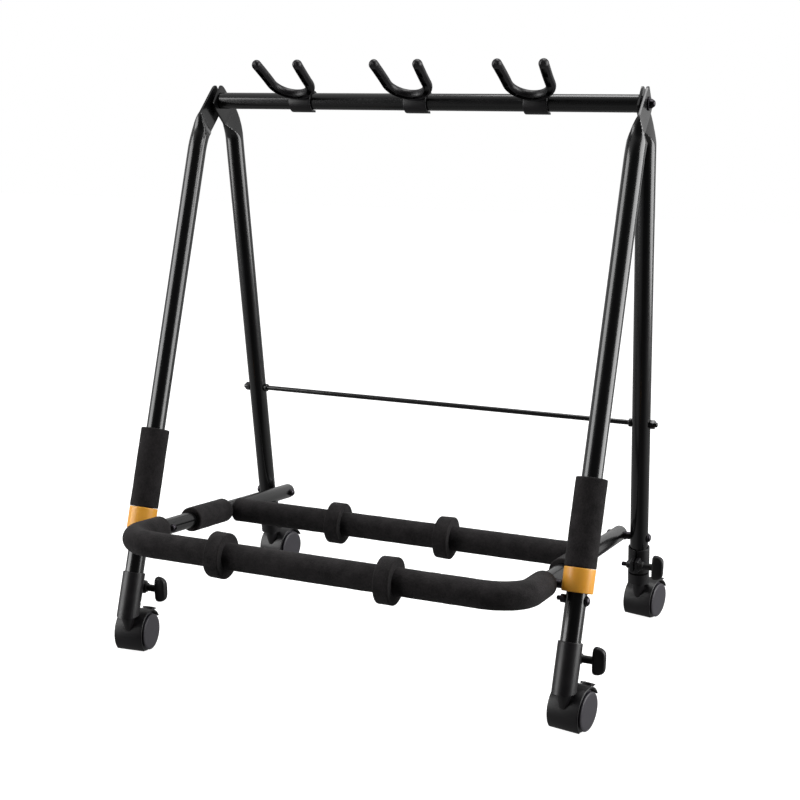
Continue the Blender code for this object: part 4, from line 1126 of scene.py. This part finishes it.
yoke = {"spread": 0.0280, "flare": 0.0020, "depth": 0.0720, "rise": math.radians(32.3), "arm": 0.0065,
        "setback": 0.0180, "lift": 0.0095, "clipWidth": 0.032, "clipWall": 0.0030,
        "mouth": math.radians(110.0),
        "turn": math.radians(15.0), "channel": math.radians(34.0), "ribEvery": 0.0215, "ribWide": 0.0011}


def yokePath():
    # centre line of the U in its own plane: (across, forward, heading), with the length so far
    spread, flare, depth = yoke["spread"], yoke["flare"], yoke["depth"]
    spots = []
    armSteps = 60
    for k in range(armSteps):
        share = k / armSteps
        v = depth + (spread - depth) * share
        u = -spread - flare * (1.0 - share) ** 1.6
        spots.append((u, v))
    bendSteps = 72
    for k in range(bendSteps + 1):
        angle = math.pi + math.pi * k / bendSteps
        spots.append((spread * math.cos(angle), spread * (1.0 + math.sin(angle))))
    spots += [(-u, v) for u, v in reversed(spots[:armSteps])]
    return spots


def forkMesh(base):
    forward = Vector((0.0, -math.cos(yoke["rise"]), math.sin(yoke["rise"])))
    lift = Vector((0.0, math.sin(yoke["rise"]), math.cos(yoke["rise"])))
    arm = yoke["arm"]
    spots = yokePath()
    lengths = [0.0]
    for a, b in zip(spots, spots[1:]):
        lengths.append(lengths[-1] + math.hypot(b[0] - a[0], b[1] - a[1]))
    whole = lengths[-1]
    window = yoke["channel"]
    wide = arm * math.sin(window)
    lowest = -arm * math.cos(window)
    rows = []
    for i, (u, v) in enumerate(spots):
        before = spots[max(0, i - 1)]
        after = spots[min(len(spots) - 1, i + 1)]
        heading = Vector((after[0] - before[0], after[1] - before[1])).normalized()
        side = across * heading.y - forward * heading.x
        point = base + across * u + forward * v
        near = min(lengths[i], whole - lengths[i])
        fromMiddle = abs(lengths[i] - whole / 2.0)
        toRib = abs((fromMiddle / yoke["ribEvery"] + 0.5) % 1.0 - 0.5) * yoke["ribEvery"]
        depth = -0.0012 if near > 0.004 and toRib > yoke["ribWide"] / 2.0 else lowest + 0.0006
        row = []
        arc = 28
        for k in range(arc + 1):
            angle = -math.pi / 2.0 + window + (2.0 * math.pi - 2.0 * window) * k / arc
            row.append(point + side * (arm * math.cos(angle)) + lift * (arm * math.sin(angle)))
        for x, y in ((-wide * 0.86, lowest + 0.0002), (-wide * 0.80, depth), (0.0, depth),
                     (wide * 0.80, depth),
                     (wide * 0.86, lowest + 0.0002)):
            row.append(point + side * x + lift * y)
        rows.append(row)
    for end in (0, -1):
        cap = []
        edge = rows[end]
        u, v = spots[end]
        centre = base + across * u + forward * v
        for k in range(1, 8):
            angle = math.pi / 2.0 * k / 8.0
            cap.append([centre + (p - centre) * math.cos(angle) + forward * (arm * math.sin(angle))
                        for p in edge])
        cap.append([centre + forward * arm])
        rows = cap[::-1] + rows if end == 0 else rows + cap
    return skin(rows)


def clipMesh(centre):
    inner = rack["barRadius"] + 0.0003
    outer = rack["barRadius"] + 0.0005 + yoke["clipWall"]
    half = yoke["clipWidth"] / 2.0
    section = rounded([(inner, -half, 0.0006), (outer, -half, 0.0010), (outer, half, 0.0010),
                       (inner, half, 0.0006)], True, 3)
    rows = []
    steps = 60
    mouth = yoke["mouth"] / 2.0
    for k in range(steps + 1):
        angle = yoke["turn"] + mouth + (2.0 * math.pi - 2.0 * mouth) * k / steps
        flare = 0.0012 * max(0.0, 1.0 - k / 5.0) ** 2 + 0.0012 * max(0.0, 1.0 - (steps - k) / 5.0) ** 2
        spoke = Vector((0.0, math.cos(angle), -math.sin(angle)))
        rows.append([centre + spoke * (radius + flare) + across * x for radius, x in section])
    return skin(rows)


def makeYokes():
    for name in ("left", "middle", "right"):
        low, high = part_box("yoke_" + name)
        centre = Vector(((low.x + high.x) / 2.0, topPivot.y, topPivot.z))
        base = centre + Vector((0.0, -yoke["setback"], yoke["lift"]))
        room = rodBetween(centre - across * 0.06, centre + across * 0.06, rack["barRadius"] + 0.0010, 64)
        fork = combine(forkMesh(base), room, "DIFFERENCE")
        mesh = combine(fork, clipMesh(centre), "UNION")
        settle("neck yoke " + name, mesh, moulded, "neck_yoke_" + name, ["yoke_" + name], 34.0)


makeYokes()
print("yokes made")


# Floor, lights and camera.

stage = {"floorGlow": 0.95, "opening": (0.395, -0.879, 0.267), "openingAngles": (34.0, 74.0),
         "tentLight": 0.46,
         "openingLight": 0.04, "lowerShare": 0.45}


def makeStage():
    data = bpy.data.meshes.new("floor")
    mesh = bmesh.new()
    bmesh.ops.create_grid(mesh, x_segments=1, y_segments=1, size=6.0)
    mesh.to_mesh(data)
    mesh.free()
    floor = bpy.data.objects.new("floor", data)
    bpy.context.scene.collection.objects.link(floor)
    material, tree, shader, place = startMaterial("pale floor", {
        "Base Color": linear("C0C0C0"), "Roughness": 0.9, "Specular IOR Level": 0.0,
        "Emission Color": (1.0, 1.0, 1.0, 1.0), "Emission Strength": stage["floorGlow"]})
    data.materials.append(material)
    floor.visible_glossy = False      # the tent wraps under the rack, so the floor itself lights nothing
    floor.visible_diffuse = False


def makeWorld():
    # a white tent, open and dark where the camera stands, so that round black parts keep a dark core
    world = bpy.data.worlds.new("white studio")
    bpy.context.scene.world = world
    world.use_nodes = True
    tree = world.node_tree
    way = addNode(tree, "ShaderNodeTexCoord").outputs["Generated"]
    facing = addNode(tree, "ShaderNodeVectorMath", {"operation": "DOT_PRODUCT", 1: stage["opening"]},
                     {0: way})
    inner, outer = (math.cos(math.radians(angle)) for angle in stage["openingAngles"])
    tent = addNode(tree, "ShaderNodeMapRange", {
        "interpolation_type": "SMOOTHSTEP", "From Min": outer, "From Max": inner,
        "To Min": stage["tentLight"], "To Max": stage["openingLight"]}, {"Value": facing.outputs["Value"]})
    height = addNode(tree, "ShaderNodeSeparateXYZ", {}, {"Vector": way}).outputs["Z"]
    under = addNode(tree, "ShaderNodeMapRange", {
        "From Min": -0.6, "From Max": 0.1, "To Min": stage["lowerShare"], "To Max": 1.0}, {"Value": height})
    light = addNode(tree, "ShaderNodeMath", {"operation": "MULTIPLY"},
                    {0: tent.outputs["Result"], 1: under.outputs["Result"]})
    seen = addNode(tree, "ShaderNodeLightPath").outputs["Is Camera Ray"]
    strength = addNode(tree, "ShaderNodeMath", {"operation": "MAXIMUM"}, {0: light.outputs[0], 1: seen})
    backdrop = tree.nodes["Background"]
    backdrop.inputs["Color"].default_value = (1.0, 1.0, 1.0, 1.0)
    tree.links.new(strength.outputs[0], backdrop.inputs["Strength"])
    bpy.context.scene.view_settings.view_transform = "Standard"


lights = {
    "left": {"place": (-2.05, -1.25, 1.0), "width": 1.7, "height": 2.4, "power": 52.0},
    "right": {"place": (2.35, 0.60, 1.0), "width": 1.9, "height": 2.4, "power": 72.0},
    "top": {"place": (0.2, 0.6, 2.9), "width": 1.8, "height": 1.0, "power": 26.0},
}


def makeLights():
    for name, values in lights.items():
        data = bpy.data.lights.new(name, "AREA")
        data.shape = "RECTANGLE"
        data.size = values["width"]
        data.size_y = values["height"]
        data.energy = values["power"]
        light = bpy.data.objects.new(name, data)
        bpy.context.scene.collection.objects.link(light)
        light.location = values["place"]
        aim = Vector((0.0, 0.0, 0.35)) - Vector(values["place"])
        light.rotation_euler = aim.to_track_quat("-Z", "Y").to_euler()


view = {"place": (0.7213, -1.8164, 0.7732), "yaw": 0.4228, "pitch": 0.2706, "roll": -0.0026, "lens": 64.26,
        "shiftX": 0.0589, "shiftY": 0.0837}


def makeCamera():
    data = bpy.data.cameras.new("camera")
    data.sensor_width = 36.0
    data.lens = view["lens"]
    data.shift_x = view["shiftX"]
    data.shift_y = view["shiftY"]
    camera = bpy.data.objects.new("camera", data)
    bpy.context.scene.collection.objects.link(camera)
    turn = Matrix.Rotation(view["yaw"], 4, "Z") @ Matrix.Rotation(math.pi / 2.0 - view["pitch"], 4, "X")
    place = Matrix.Translation(origin + Vector(view["place"]))
    camera.matrix_world = place @ turn @ Matrix.Rotation(view["roll"], 4, "Z")
    bpy.context.scene.camera = camera


makeStage()
makeWorld()
makeLights()
makeCamera()
print("stage ready")
